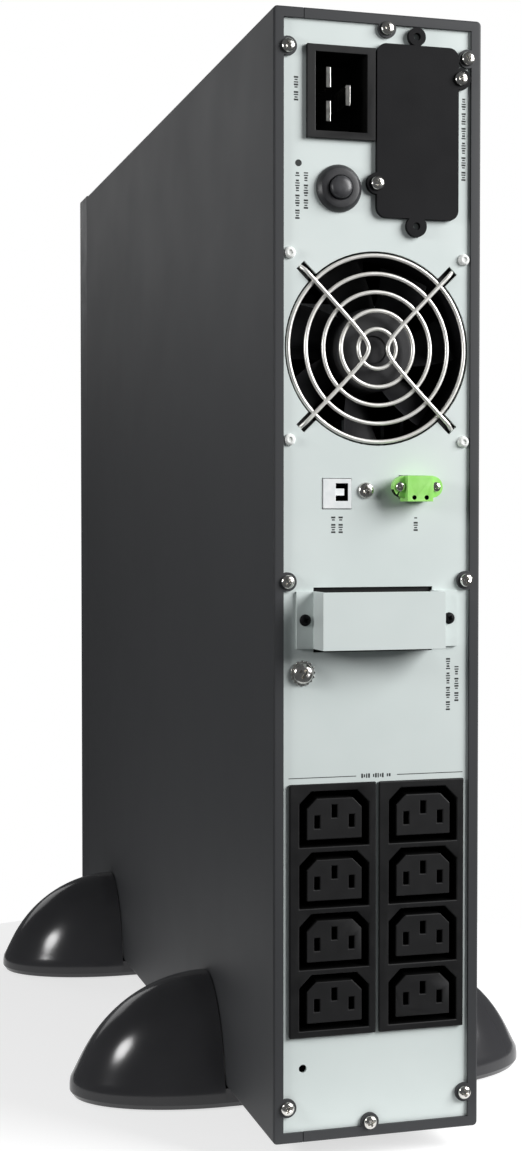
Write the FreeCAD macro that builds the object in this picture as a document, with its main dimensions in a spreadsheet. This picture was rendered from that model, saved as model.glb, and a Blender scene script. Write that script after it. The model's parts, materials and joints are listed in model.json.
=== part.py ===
# Uninterruptible power supply for a 2U rack space, standing on end in its tower feet.
# Units are millimetres. +Z is up, the rear panel faces -Y, and X runs across the rear panel.
# The origin is on the floor, under the centre of the bounding box.
import FreeCAD, Part
import math
import os
import re
import Sketcher

SIZES = {
    # case
    "case_width": 85, "case_height": 438, "case_depth": 435, "floor_gap": 9, "sheet": 1.2, "fold": 1.8,
    "rear_fold": 0.9, "rim": 4.15, "bezel_depth": 28, "seam": 0.3, "tray_wall": 12, "lip_width": 12,
    "lip_margin": 12,
    # rim ears and screws
    "ear_radius": 3.7, "rim_screw_in": 5.7, "rim_screw_top": 15, "rim_screw_mid": 218.5,
    "rim_screw_low": 14, "rim_screw_end": 5.6, "top_screw_x": 3.3, "low_screw_x": 2.9,
    "screw_head": 2.7, "screw_rise": 1.8, "screw_shank": 1.5, "screw_length": 8, "screw_hole": 1.75,
    "screw_clear": 0.1, "small_screw_rise": 1.2, "cross_width": 0.9, "cross_length": 3.2,
    "cross_deep": 1,
    # rack ear fixing
    "ear_hole_front": 11, "ear_hole_pitch": 34, "ear_hole_across": 20, "nut_bore": 2, "nut_pilot": 2.7,
    "nut_flange": 3.6, "nut_length": 3.2, "fit_gap": 0.02,
    # card slot
    "slot_left": -1.1, "slot_right": 32.8, "slot_top": 11.5, "slot_bottom": 78.5, "slot_round": 4,
    "slot_plate": 2, "slot_rebate": 3, "slot_tab_x": 15.4, "slot_tab_out": 3.4, "slot_tab": 3.6,
    "slot_tab_low": 4.2, "slot_tab_drop": 2.8, "slot_tab_hole": 1.4, "slot_ear": 4.2,
    "slot_ear_top": 23.2, "slot_ear_low": 65.5, "slot_ear_out": 0.8, "slot_ear_in": 0.2,
    "guide_depth": 110, "guide_thick": 3, "guide_width": 22, "guide_gap": 1,
    # mains inlet
    "inlet_x": -15.45, "inlet_drop": 31.5, "inlet_flange_x": 27.7, "inlet_flange_z": 35.7,
    "inlet_wide": 20.7, "inlet_tall": 29.8, "inlet_wall": 1.6, "inlet_flange": 1.8, "inlet_deep": 19,
    "inlet_back": 6, "cutout_gap": 0.25, "blade_wide": 8, "blade_thick": 2, "blade_pitch": 13,
    "earth_offset": 8, "blade_recess": 4, "blade_tail": 6,
    # thermal breaker
    "breaker_x": -16, "breaker_drop": 68, "bush": 6.5, "bush_proud": 1.2, "breaker_wide": 24,
    "breaker_tall": 30, "breaker_deep": 30, "breaker_gap": 0.2, "breaker_nut": 9.15,
    "breaker_nut_rise": 2.8, "breaker_bevel": 1.2, "button_radius": 4.3, "button_gap": 0.08,
    "button_proud": 4.2, "button_inside": 10, "button_bevel": 1,
    # fan and guard
    "fan": 80, "fan_drop": 129.1, "fan_deep": 25, "fan_wall": 2, "lug_inset": 4.25, "fan_corner": 3,
    "hole_inset": 0.3, "lug_hole": 2.1, "rivet": 1.85, "rivet_head": 2.3, "rivet_rise": 1.7,
    "rivet_tail": 2.9, "hub": 16.5, "hub_wall": 1.5, "hub_front": 2, "hub_deep": 18, "tip_gap": 1,
    "blade_sheet": 1.4, "blade_chord": 17, "blade_angle": 40, "blades": 7, "shaft": 1.5,
    "bearing_gap": 0.05, "bearing_wall": 1.5, "stator_out": 13.5, "stator_deep": 13, "strut": 5,
    "strut_deep": 3, "wire": 0.9, "ring_inset": 1.5, "ring_first": 7.7, "arm_slot": 2.2,
    "arm_short": 4.35, "arm_waist": 3.6, "arm_bow": 6,
    # usb socket
    "usb_x": -16.5, "usb_drop": 185.5, "usb_side": 11.6, "usb_deep": 16, "usb_proud": 0.4,
    "usb_open_x": 1.9, "usb_open_z": 0.6, "usb_open_wide": 4.9, "usb_open_tall": 6.8, "usb_bore": 9,
    "usb_tongue_wide": 3.6, "usb_tongue_tall": 2.8, "usb_screw_x": -4.7, "usb_screw_drop": 184.2,
    "usb_screw_head": 3.2,
    # emergency off plug
    "off_x": 14.6, "off_drop": 182.8, "off_wide": 10.9, "off_tall": 8.6, "off_flange": 20.4,
    "off_flange_tall": 8.4, "off_low": 1.4, "off_proud": 9, "off_header_deep": 12,
    "off_flange_thick": 3, "off_flange_out": 3.4, "off_screw_x": 7.3, "off_screw_head": 1.95,
    "off_screw_shank": 1.15, "off_screw_bore": 1.26, "off_pin_pitch": 5.08, "off_pin": 1,
    "off_pin_slot": 1.4, "off_mouth": 0.9, "off_mouth_drop": 4.2, "off_gap": 0.3, "off_wall": 1,
    # external battery port
    "port_z": 203.6, "port_tall": 22.2, "port_left": -26.4, "port_right": 23.4, "port_tab": 33.2,
    "port_stand": 12.5, "port_slot_gap": 1.5, "port_hole_x": 29.7, "port_tab_screw": 2.3,
    "connector_wide": 38, "connector_tall": 16, "connector_deep": 26, "connector_proud": 7,
    "connector_bore": 5, "connector_pin": 2.5, "connector_pitch": 17, "connector_flange": 5,
    "connector_plate": 2.5,
    # earth screw
    "ground_x": -30.5, "ground_z": 183.1, "ground_head": 4.1, "ground_washer": 5, "washer_thick": 0.8,
    "ground_shank": 1.9, "ground_rise": 2.6,
    # outlet blocks
    "outlet_left_x": -18.3, "outlet_right_x": 18.4, "outlet_wide": 35.4, "outlet_low": 41,
    "outlet_margin": 13.65, "outlet_flange": 1.5, "outlet_inset": 1.5, "outlet_deep": 21,
    "socket_shift": 0.5, "socket_pitch": 23.9, "socket_wide": 28.4, "socket_tall": 21.7,
    "socket_corner": 5, "insert_wide": 22.6, "insert_tall": 16.3, "insert_corner": 4, "socket_bore": 16,
    "slot_wide": 2.2, "slot_high": 4.9, "pin_spread": 7.05, "pin_line": -1.2, "earth_rise": 4,
    "contact_wide": 5, "contact_high": 7.4, "contact_start": 9, "contact_gap": 0.2,
    "spare_hole_x": -30.2, "spare_hole": 1.6, "spare_hole_z": 28.7,
    # power electronics
    "board_gap": 6.3, "board": 1.6, "board_low": 14, "board_top": 14, "board_start": 42,
    "board_deep": 156, "standoff": 3, "standoff_inset": 9, "sink_low": 262, "sink_pitch": 70,
    "sink_start": 52, "sink_long": 108, "sink_wide": 62, "sink_base": 5, "sink_fin": 17, "fins": 8,
    "fin": 1.6, "device_wide": 16, "device_tall": 20, "device_thick": 4.8, "device_pitch": 25,
    "cap_radius": 12.5, "cap_height": 45, "cap_first_z": 44, "cap_pitch": 29, "cap_start": 180,
    "choke_ring": 15, "choke_wire": 7.5, "choke_z": 64, "choke_in": 150, "core_wide": 44,
    "core_tall": 54, "core_deep": 40, "core_z": 104, "core_start": 120, "coil_proud": 7,
    "relay_wide": 24, "relay_tall": 13, "relay_deep": 28, "relay_z": 34, "relay_pitch": 17,
    "relay_start": 60,
    # battery pack
    "battery_thick": 65, "battery_deep": 94, "battery_long": 151, "battery_gap": 1, "lid_inset": 1.5,
    "pack_low": 12, "pack_clear": 0.6, "pack_front_gap": 4, "pack_wall": 1, "pack_wall_tall": 22,
    "pack_side": 7, "rail": 6, "tab_thick": 0.8, "tab_wide": 6.3, "tab_high": 4, "tab_in": 12,
    "lead": 2, "plug_wide": 24, "plug_deep": 24, "plug_thick": 4.4,
    # front
    "bezel_wall": 2.4, "bezel_round": 5.5, "door_side": 6.4, "door_gap": 0.5, "door_thick": 3,
    "door_skirt": 12, "door_inset": 1, "door_slots": 24, "door_slot": 3, "door_slot_margin": 14,
    "display_drop": 60, "display_radius": 25.7, "display_gap": 0.4, "display_deep": 15,
    "display_wall": 2.2, "stub": 8, "stub_bore": 5, "stub_gap": 0.08, "stub_long": 9, "seat_wall": 2.4,
    "lens": 2, "lens_wide": 34, "lens_tall": 17, "lens_rise": 4, "lens_deep": 0.5, "press_radius": 2.9,
    "press_gap": 0.3, "press_pitch": 11, "press_drop": 12, "press_flange": 3.9, "press_stem": 7,
    # feet
    "foot_spread": 112.5, "foot_middle": 217.5, "foot_reach": 62.7, "foot_half": 34.8,
    "foot_rise": 60.7, "foot_sink": 9, "foot_wall": 2.5, "foot_gap": 0.6, "foot_lift": 0.8,
    "tongue_half": 33.2, "tongue_inset": 0.2, "hook": 10, "hook_long": 8, "hook_gap": 0.4,
    "hook_inset": 1.4, "pad": 7, "pad_gap": 0.3, "pad_deep": 2, "pad_in": 24,
}

WORD = re.compile(r"[a-z][a-z_0-9]*")
TURNS = {"x": (FreeCAD.Vector(0, 1, 0), 90), "y": (FreeCAD.Vector(1, 0, 0), -90),
         "z": (FreeCAD.Vector(0, 0, 1), 0)}
SCREW_HOLE = "screw_shank + screw_clear"
SAFE = 5  # how far a cutting solid runs past the face it cuts
HALF = "case_width / 2"
REAR = "(port_stand - case_depth) / 2"
FLOOR = "floor_gap"
TOP = "(floor_gap + case_height)"
BEZEL = f"{REAR} + case_depth - bezel_depth"
FAN_PITCH = "fan - 2 * lug_inset"
FAN_BORE = "(fan / 2 - fan_wall)"
PANEL_HOLE = "(fan / 2 - fan_wall - hole_inset)"
ARM_REACH = "(fan / 2 - lug_inset - arm_short)"
OUTLET_TALL = "(3 * socket_pitch + 2 * outlet_margin)"
SOCKET_FIRST = "(outlet_low + outlet_margin)"

doc = FreeCAD.newDocument("tower_power_supply")
sheet = doc.addObject("Spreadsheet::Sheet", "Sizes")
nodes = []


def fill_sheet():
    for row, (alias, number) in enumerate(SIZES.items(), 1):
        sheet.set(f"A{row}", alias)
        sheet.set(f"B{row}", str(number))
        sheet.setAlias(f"B{row}", alias)
    doc.recompute()


def bound(text):
    """The expression with each size's name pointing at its cell."""

    def cell(word):
        return f"Sizes.{word.group()}" if word.group() in SIZES else word.group()

    return WORD.sub(cell, str(text))


def bind(item, **expressions):
    for name, text in expressions.items():
        item.setExpression(name, bound(text))


def place(item, at, axis="z"):
    item.Placement = FreeCAD.Placement(FreeCAD.Vector(), FreeCAD.Rotation(*TURNS[axis]))
    for letter, text in zip("xyz", at):
        item.setExpression(f"Placement.Base.{letter}", bound(text))


def deep(text):
    """A place measured into the case from the rear rim."""
    return f"{REAR} + {text}"


def up(text):
    """A height above the underside of the case."""
    return f"{FLOOR} + {text}"


def down(text):
    """A height measured down from the top of the case."""
    return f"{TOP} - ({text})"


def span(middle, width):
    return (f"{middle} - ({width}) / 2", f"{middle} + ({width}) / 2")


def node(item, label):
    item.Label = label
    nodes.append(item)
    return item


# --- primitives and booleans

def box(name, x, y, z):
    item = doc.addObject("Part::Box", name)
    for prop, (low, high) in zip(("Length", "Width", "Height"), (x, y, z)):
        item.setExpression(prop, bound(f"({high}) - ({low})"))
    place(item, (x[0], y[0], z[0]))
    return item


def along(axis, centre, start):
    spots = {"x": (start, *centre), "y": (centre[0], start, centre[1]), "z": (*centre, start)}
    return spots[axis]


def rod(name, axis, radius, centre, ends):
    item = doc.addObject("Part::Cylinder", name)
    bind(item, Radius=radius, Height=f"({ends[1]}) - ({ends[0]})")
    place(item, along(axis, centre, ends[0]), axis)
    return item


def cone(name, axis, first, last, centre, ends):
    item = doc.addObject("Part::Cone", name)
    bind(item, Radius1=first, Radius2=last, Height=f"({ends[1]}) - ({ends[0]})")
    place(item, along(axis, centre, ends[0]), axis)
    return item


def fuse(name, *parts):
    item = doc.addObject("Part::MultiFuse", name)
    item.Shapes = list(parts)
    item.Refine = True
    return item


def group(name, parts):
    item = doc.addObject("Part::Compound", name)
    item.Links = list(parts)
    return item


def cut(name, base, *tools):
    item = doc.addObject("Part::Cut", name)
    item.Base = base
    item.Tool = tools[0] if len(tools) == 1 else group(name + "_tools", tools)
    return item


def common(name, *parts):
    item = doc.addObject("Part::MultiCommon", name)
    item.Shapes = list(parts)
    return item


def tube(name, axis, outer, inner, centre, ends):
    solid = rod(name + "_outer", axis, outer, centre, ends)
    hole = rod(name + "_inner", axis, inner, centre, (f"{ends[0]} - {SAFE}", f"{ends[1]} + {SAFE}"))
    return cut(name, solid, hole)


def screw(name, centre, seat, head="screw_head", rise="screw_rise", shank="screw_shank",
          length="screw_length"):
    """A cross-recessed screw in the rear panel: its head stands out towards -Y from its seat."""
    x, z = centre
    top = f"{seat} - {rise}"
    dome = cone(name + "_dome", "y", f"{head} * 0.6", head, centre, (top, f"{seat} - {rise} * 0.35"))
    skirt = rod(name + "_skirt", "y", head, centre, (f"{seat} - {rise} * 0.35", seat))
    thread = rod(name + "_thread", "y", shank, centre, (seat, f"{seat} + {length}"))
    recess = (f"{top} - {SAFE}", f"{top} + cross_deep")
    tall = box(name + "_slot", span(x, "cross_width"), recess, span(z, "cross_length"))
    wide = box(name + "_bar", span(x, "cross_length"), recess, span(z, "cross_width"))
    return cut(name, fuse(name + "_blank", dome, skirt, thread), fuse(name + "_cross", tall, wide))


# --- bodies with sketches

def new_body(label):
    item = doc.addObject("PartDesign::Body", label)
    return node(item, label)


def new_sketch(body, plane, offset):
    """A sketch on one of the body's own planes, moved along the plane's normal."""
    item = body.newObject("Sketcher::SketchObject", "profile")
    support = [part for part in body.Origin.OriginFeatures if part.Role == plane + "_Plane"]
    item.AttachmentSupport = (support[0], [""])
    item.MapMode = "FlatFace"
    item.setExpression("AttachmentOffset.Base.z", bound(offset))
    return item


def rear_sketch(body, y):
    """A sketch facing the rear at the place y: its axes are X and Z."""
    return new_sketch(body, "XZ", f"-({y})")


def pin(sketch, element, corner, spot):
    for kind, text in zip(("DistanceX", "DistanceY"), spot):
        index = sketch.addConstraint(Sketcher.Constraint(kind, -1, 1, element, corner, 1.0))
        sketch.setExpression(f"Constraints[{index}]", bound(text))


def polygon(sketch, points):
    count = len(points)
    start = [FreeCAD.Vector(math.cos(2 * math.pi * i / count), math.sin(2 * math.pi * i / count), 0)
             for i in range(count)]
    lines = [Part.LineSegment(start[i], start[(i + 1) % count]) for i in range(count)]
    first = sketch.addGeometry(lines, False)[0]
    for i in range(count):
        sketch.addConstraint(Sketcher.Constraint("Coincident", first + i, 2, first + (i + 1) % count, 1))
    for i, spot in enumerate(points):
        pin(sketch, first + i, 1, spot)


def rectangle(sketch, x, z):
    polygon(sketch, [(x[0], z[0]), (x[1], z[0]), (x[1], z[1]), (x[0], z[1])])


def circle(sketch, centre, radius):
    element = sketch.addGeometry(Part.Circle(FreeCAD.Vector(), FreeCAD.Vector(0, 0, 1), 1.0), False)
    pin(sketch, element, 3, centre)
    index = sketch.addConstraint(Sketcher.Constraint("Radius", element, 1.0))
    sketch.setExpression(f"Constraints[{index}]", bound(radius))


def pad(body, sketch, length, backwards=False):
    item = body.newObject("PartDesign::Pad", "pad")
    item.Profile = sketch
    item.Reversed = backwards
    bind(item, Length=length)
    body.Tip = item
    return item


def pocket(body, sketch, length, backwards=False):
    item = body.newObject("PartDesign::Pocket", "pocket")
    item.Profile = sketch
    item.Reversed = backwards
    bind(item, Length=length)
    body.Tip = item
    return item


def round_edges(body, radius, chosen):
    """Fillets the edges that the test picks out of the body's last feature."""
    doc.recompute()
    base = body.Tip
    names = [f"Edge{i}" for i, edge in enumerate(base.Shape.Edges, 1) if chosen(edge)]
    item = body.newObject("PartDesign::Fillet", "fillet")
    item.Base = (base, names)
    bind(item, Radius=radius)
    body.Tip = item
    return item


def size(alias):
    return float(sheet.get(alias))


def near(first, second):
    return abs(first - second) < 0.01


def runs_along(edge, axis):
    box_of = edge.BoundBox
    lengths = {"x": box_of.XLength, "y": box_of.YLength, "z": box_of.ZLength}
    longest = lengths.pop(axis)
    return longest > 0.1 and max(lengths.values()) < 0.01


# --- places that several pieces share

def rim_spots(side):
    """Screw centres on the rim: the left ones hold the tray, the others the cover."""
    inset = f"({HALF} - rim_screw_in)"
    heights = (down("rim_screw_top"), up("rim_screw_mid"), up("rim_screw_low"))
    if side == "left":
        return [(f"-{inset}", z) for z in heights]
    ends = [("top_screw_x", down("rim_screw_end")), ("-low_screw_x", up("rim_screw_end"))]
    return [(inset, z) for z in heights] + ends


def slot_screw_spots():
    return [("slot_right + slot_ear_out", down("slot_ear_top")),
            ("slot_left + slot_ear_in", down("slot_ear_low"))]


def fan_centre():
    return ("0", down("fan_drop"))


def fan_corners():
    x, z = fan_centre()
    half = f"({FAN_PITCH}) / 2"
    return [(f"{x} + {i} * {half}", f"{z} + {k} * {half}") for i in (-1, 1) for k in (-1, 1)]


def port_screw_spots():
    return [(f"{side} * port_hole_x", up("port_z")) for side in (-1, 1)]


def ear_hole_spots():
    """Rack ear fixings on the short sides, as X and Y."""
    first = f"{BEZEL} - ear_hole_front"
    return [(f"{side} * ear_hole_across", f"{first} - {row} * ear_hole_pitch")
            for side in (-1, 1) for row in (0, 1)]


# --- case

def make_tray():
    """The folded chassis half: one wide side, two shallow walls and its part of the rear rim."""
    body = new_body("base_tray")
    wall = f"-{HALF} + tray_wall"
    inner = f"-{HALF} + sheet"
    profile = rear_sketch(body, REAR)
    polygon(profile, [(f"-{HALF}", FLOOR), (wall, FLOOR), (wall, up("sheet")), (inner, up("sheet")),
                      (inner, down("sheet")), (wall, down("sheet")), (wall, TOP), (f"-{HALF}", TOP)])
    pad(body, profile, "case_depth - bezel_depth", True)
    flange = rear_sketch(body, REAR)
    polygon(flange, [(f"-{HALF}", FLOOR), (wall, FLOOR), (wall, up("rim")), (f"-{HALF} + rim", up("rim")),
                     (f"-{HALF} + rim", down("rim")), (wall, down("rim")), (wall, TOP), (f"-{HALF}", TOP)])
    pad(body, flange, "sheet", True)
    ears = rear_sketch(body, REAR)
    for spot in rim_spots("left"):
        circle(ears, spot, "ear_radius")
    pad(body, ears, "sheet", True)
    lips = new_sketch(body, "XY", up("sheet"))
    lip_y = (deep("lip_margin"), f"{BEZEL} - lip_margin")
    lip_x = (f"{wall} - lip_width / 2", f"{wall} + lip_width / 2")
    rectangle(lips, lip_x, lip_y)
    pad(body, lips, "sheet")
    high = new_sketch(body, "XY", down("sheet"))
    rectangle(high, lip_x, lip_y)
    pad(body, high, "sheet", True)
    rails = rear_sketch(body, PACK_REAR)
    rail_x = (inner, f"{pack_x()[0]} - pack_clear / 2")
    for z in (span(f"{pack_z()[0]} + rail", "rail"), span(f"{pack_z()[1]} - rail", "rail")):
        rectangle(rails, rail_x, z)
    pad(body, rails, f"({BEZEL}) - ({PACK_REAR})", True)
    holes = rear_sketch(body, REAR)
    for spot in rim_spots("left"):
        circle(holes, spot, "screw_hole")
    pocket(body, holes, "sheet")
    fold_long_edges(body, -size("case_width") / 2)
    fold_rear_edge(body)


def make_cover():
    """The folded cover: the other wide side, both short sides and the rest of the rear rim."""
    body = new_body("top_cover")
    edge_x = f"-{HALF} + tray_wall + seam"
    inner = f"{HALF} - sheet"
    profile = rear_sketch(body, REAR)
    polygon(profile, [(edge_x, FLOOR), (HALF, FLOOR), (HALF, TOP), (edge_x, TOP), (edge_x, down("sheet")),
                      (inner, down("sheet")), (inner, up("sheet")), (edge_x, up("sheet"))])
    pad(body, profile, "case_depth - bezel_depth", True)
    flange = rear_sketch(body, REAR)
    polygon(flange, [(edge_x, FLOOR), (HALF, FLOOR), (HALF, TOP), (edge_x, TOP), (edge_x, down("rim")),
                     (f"{HALF} - rim", down("rim")), (f"{HALF} - rim", up("rim")), (edge_x, up("rim"))])
    pad(body, flange, "sheet", True)
    ears = rear_sketch(body, REAR)
    for spot in rim_spots("right"):
        circle(ears, spot, "ear_radius")
    pad(body, ears, "sheet", True)
    holes = rear_sketch(body, REAR)
    for spot in rim_spots("right"):
        circle(holes, spot, "screw_hole")
    pocket(body, holes, "sheet")
    nuts = new_sketch(body, "XY", FLOOR)
    for spot in ear_hole_spots():
        circle(nuts, spot, "nut_pilot")
    pocket(body, nuts, "case_height", True)
    fold_long_edges(body, size("case_width") / 2)
    fold_rear_edge(body)


def fold_long_edges(body, face_x):
    """Rounds the long edges where the wide side folds into the short sides."""
    heights = (size("floor_gap"), size("floor_gap") + size("case_height"))

    def is_fold(edge):
        at = edge.CenterOfMass
        return runs_along(edge, "y") and near(at.x, face_x) and any(near(at.z, z) for z in heights)

    round_edges(body, "fold", is_fold)


def fold_rear_edge(body):
    """Rounds the outer edge where the sides fold into the rear rim."""
    rear = (size("port_stand") - size("case_depth")) / 2
    half = size("case_width") / 2
    low = size("floor_gap")
    high = low + size("case_height")
    reach = size("fold") + 0.01

    def on_outline(edge):
        at = edge.BoundBox
        flat = near(at.YMin, rear) and near(at.YMax, rear)
        wide = near(at.XMin, -half) or near(at.XMax, half)
        tall = near(at.ZMin, low) or near(at.ZMax, high)
        side = wide and at.XLength < reach
        end = tall and at.ZLength < reach
        return flat and (side or end) and edge.Length > 0.1

    round_edges(body, "rear_fold", on_outline)


def make_rear_panel():
    """The pale panel behind the rim, with a cut-out for everything that it carries."""
    body = new_body("rear_panel")
    plate = rear_sketch(body, deep("2 * sheet"))
    side = f"{HALF} - sheet - seam"
    rectangle(plate, (f"-({side})", side), (up("sheet * 2 + seam"), down("sheet * 2 + seam")))
    for spot in rim_spots("left") + rim_spots("right"):
        circle(plate, spot, SCREW_HOLE)
    for spot in slot_screw_spots() + [("usb_screw_x", down("usb_screw_drop"))]:
        circle(plate, spot, SCREW_HOLE)
    for spot in fan_corners():
        circle(plate, spot, "lug_hole")
    for spot in port_screw_spots():
        circle(plate, spot, SCREW_HOLE)
    circle(plate, ("ground_x", up("ground_z")), "ground_shank + screw_clear")
    circle(plate, ("breaker_x", down("breaker_drop")), "bush + cutout_gap")
    circle(plate, ("spare_hole_x", up("spare_hole_z")), "spare_hole")
    rectangle(plate, ("slot_left + slot_rebate", "slot_right - slot_rebate"),
              (down("slot_bottom - slot_rebate"), down("slot_top + slot_rebate")))
    rectangle(plate, span("inlet_x", "inlet_wide + 2 * inlet_wall + 2 * cutout_gap"),
              span(down("inlet_drop"), "inlet_tall + 2 * inlet_wall + 2 * cutout_gap"))
    usb_hole = "usb_side + 2 * cutout_gap"
    rectangle(plate, span("usb_x", usb_hole), span(down("usb_drop"), usb_hole))
    rectangle(plate, span("off_x", "off_wide + 2 * off_gap"), span(down("off_drop"), "off_tall + 2 * off_gap"))
    rectangle(plate, ("port_left + port_slot_gap / 4", "port_right - port_slot_gap / 4"),
              span(up("port_z"), "port_tall + 2 * port_slot_gap"))
    for x in ("outlet_left_x", "outlet_right_x"):
        rectangle(plate, span(x, "outlet_wide - 2 * outlet_inset + 2 * cutout_gap"),
                  (up("outlet_low + outlet_inset - cutout_gap"),
                   up(f"outlet_low + {OUTLET_TALL} - outlet_inset + cutout_gap")))
    circle(plate, fan_centre(), PANEL_HOLE)
    pad(body, plate, "sheet")
    slots = rear_sketch(body, deep("sheet"))
    root = f"{PANEL_HOLE} * 0.62"
    half = "arm_slot / sqrt(2)"
    for i in (-1, 1):
        for k in (-1, 1):
            arm_slot(slots, i, k, root, half)
    pocket(body, slots, "sheet")


def arm_slot(sketch, i, k, root, half):
    """A diagonal slot in the fan opening's edge, where a guard arm dives behind the panel."""
    x, z = fan_centre()
    corners = [(root, -1, 1), (ARM_REACH, -1, 1), (ARM_REACH, 1, -1), (root, 1, -1)]
    polygon(sketch, [(f"{x} + {i} * ({reach} + {dx} * {half})", f"{z} + {k} * ({reach} + {dz} * {half})")
                     for reach, dx, dz in corners])


def make_rim_screws():
    spots = rim_spots("left") + rim_spots("right")
    screws = [screw(f"rim_screw_{i}", spot, REAR) for i, spot in enumerate(spots)]
    node(group("rim_screws", screws), "rim_screws")


def make_panel_screws():
    plate = deep("sheet - slot_plate")
    screws = [screw(f"slot_screw_{i}", spot, plate) for i, spot in enumerate(slot_screw_spots())]
    screws.append(screw("usb_fixing", ("usb_screw_x", down("usb_screw_drop")), deep("sheet"), "usb_screw_head"))
    node(group("panel_screws", screws), "panel_screws")


def make_ear_nuts():
    nuts = []
    for i, (x, y) in enumerate(ear_hole_spots()):
        for end, face, sign in (("low", FLOOR, 1), ("high", TOP, -1)):
            name = f"ear_nut_{i}_{end}"
            shoulder = f"{face} + {sign} * sheet"
            inner = f"{face} + {sign} * nut_length"
            bore = sorted_ends(face, inner, sign)
            pilot = rod(name + "_pilot", "z", "nut_pilot - fit_gap", (x, y), sorted_ends(face, shoulder, sign))
            flange = rod(name + "_flange", "z", "nut_flange", (x, y), sorted_ends(shoulder, inner, sign))
            hole = rod(name + "_bore", "z", "nut_bore", (x, y), (f"{bore[0]} - {SAFE}", f"{bore[1]} + {SAFE}"))
            nuts.append(cut(name, fuse(name + "_blank", pilot, flange), hole))
    node(group("rack_ear_nuts", nuts), "rack_ear_nuts")


def sorted_ends(first, second, sign):
    return (first, second) if sign > 0 else (second, first)


# --- card slot, inlet and breaker

def make_slot_cover():
    body = new_body("slot_cover")
    face = deep("sheet")
    plate = rear_sketch(body, face)
    rectangle(plate, ("slot_left", "slot_right"), (down("slot_bottom"), down("slot_top")))
    pad(body, plate, "slot_plate")

    def is_corner(edge):
        return runs_along(edge, "y")

    round_edges(body, "slot_round", is_corner)
    ears = rear_sketch(body, face)
    circle(ears, ("slot_tab_x", down("slot_top - slot_tab_out")), "slot_tab")
    circle(ears, ("slot_tab_x", down("slot_bottom + slot_tab_drop")), "slot_tab_low")
    for spot in slot_screw_spots():
        circle(ears, spot, "slot_ear")
    pad(body, ears, "slot_plate")
    holes = rear_sketch(body, deep("sheet - slot_plate"))
    circle(holes, ("slot_tab_x", down("slot_top - slot_tab_out")), "slot_tab_hole")
    circle(holes, ("slot_tab_x", down("slot_bottom + slot_tab_drop")), "slot_tab_hole")
    for spot in slot_screw_spots():
        circle(holes, spot, SCREW_HOLE)
    pocket(body, holes, "slot_plate")


def make_card_guides():
    guides = []
    middle = "(slot_left + slot_right) / 2"
    ends = (deep("2 * sheet + seam"), deep("guide_depth"))
    heights = {"low": down("slot_bottom - guide_gap"), "high": down("slot_top + guide_gap + guide_thick")}
    for name, z in heights.items():
        rail = box(f"guide_{name}", span(middle, "guide_width"), ends, (z, f"{z} + guide_thick"))
        groove_z = (f"{z} + guide_thick / 2", f"{z} + guide_thick + 1")
        if name == "high":
            groove_z = (f"{z} - 1", f"{z} + guide_thick / 2")
        groove = box(f"groove_{name}", span(middle, "guide_thick - 1"),
                     (f"{ends[0]} - {SAFE}", f"{ends[1]} + {SAFE}"), groove_z)
        guides.append(cut(f"rail_{name}", rail, groove))
    node(group("card_guides", guides), "card_guides")


def inlet_blades(name, start, stop):
    """Three flat blades, line and neutral one above the other and earth beside them."""
    x = "inlet_x"
    z = down("inlet_drop")
    live = f"{x} - earth_offset / 2"
    spots = [(live, f"{z} + blade_pitch / 2"), (live, f"{z} - blade_pitch / 2"), (f"{x} + earth_offset / 2", z)]
    return [box(f"{name}_{i}", span(sx, "blade_thick"), (start, stop), span(sz, "blade_wide"))
            for i, (sx, sz) in enumerate(spots)]


def make_inlet():
    x = "inlet_x"
    z = down("inlet_drop")
    front = deep("sheet - inlet_flange")
    back = deep("sheet + inlet_deep + inlet_back")
    flange = box("inlet_rim", span(x, "inlet_flange_x"), (front, deep("sheet")), span(z, "inlet_flange_z"))
    shell = box("inlet_shell", span(x, "inlet_wide + 2 * inlet_wall"), (front, back),
                span(z, "inlet_tall + 2 * inlet_wall"))
    cavity = box("inlet_cavity", span(x, "inlet_wide"), (f"{front} - {SAFE}", deep("sheet + inlet_deep")),
                 span(z, "inlet_tall"))
    holes = inlet_blades("inlet_hole", deep("sheet + inlet_deep - 1"), f"{back} + {SAFE}")
    node(cut("inlet_body", fuse("inlet_blank", flange, shell), cavity, *holes), "inlet_body")
    blades = inlet_blades("blade", deep("sheet - inlet_flange + blade_recess"), f"{back} + blade_tail")
    node(group("inlet_pins", blades), "inlet_pins")


def make_breaker():
    centre = ("breaker_x", down("breaker_drop"))
    x, z = centre
    mouth = deep("sheet - bush_proud")
    start = deep("2 * sheet + breaker_gap")
    housing = box("breaker_case", span(x, "breaker_wide"), (start, f"{start} + breaker_deep"),
                  span(z, "breaker_tall"))
    neck = rod("breaker_neck", "y", "bush", centre, (mouth, f"{start} + 1"))
    bore = rod("breaker_bore", "y", "button_radius + button_gap", centre,
               (f"{mouth} - {SAFE}", f"{mouth} + button_inside + 2"))
    node(cut("breaker_body", fuse("breaker_blank", housing, neck), bore), "breaker_body")
    face = deep("sheet")
    nut_top = f"{face} - breaker_nut_rise"
    nut = cone("nut_solid", "y", "breaker_nut - breaker_bevel", "breaker_nut", centre, (nut_top, face))
    hole = rod("nut_hole", "y", "bush + fit_gap", centre, (f"{nut_top} - {SAFE}", f"{face} + {SAFE}"))
    node(cut("breaker_nut", nut, hole), "breaker_nut")
    tip = f"{mouth} - button_proud"
    shoulder = f"{tip} + button_bevel"
    stem = rod("button_stem", "y", "button_radius", centre, (shoulder, f"{mouth} + button_inside"))
    cap = cone("button_cap", "y", "button_radius - button_bevel", "button_radius", centre, (tip, shoulder))
    node(fuse("breaker_button", stem, cap), "breaker_button")


# --- fan

FAN_FACE = deep("2 * sheet + 2 * wire")


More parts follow.
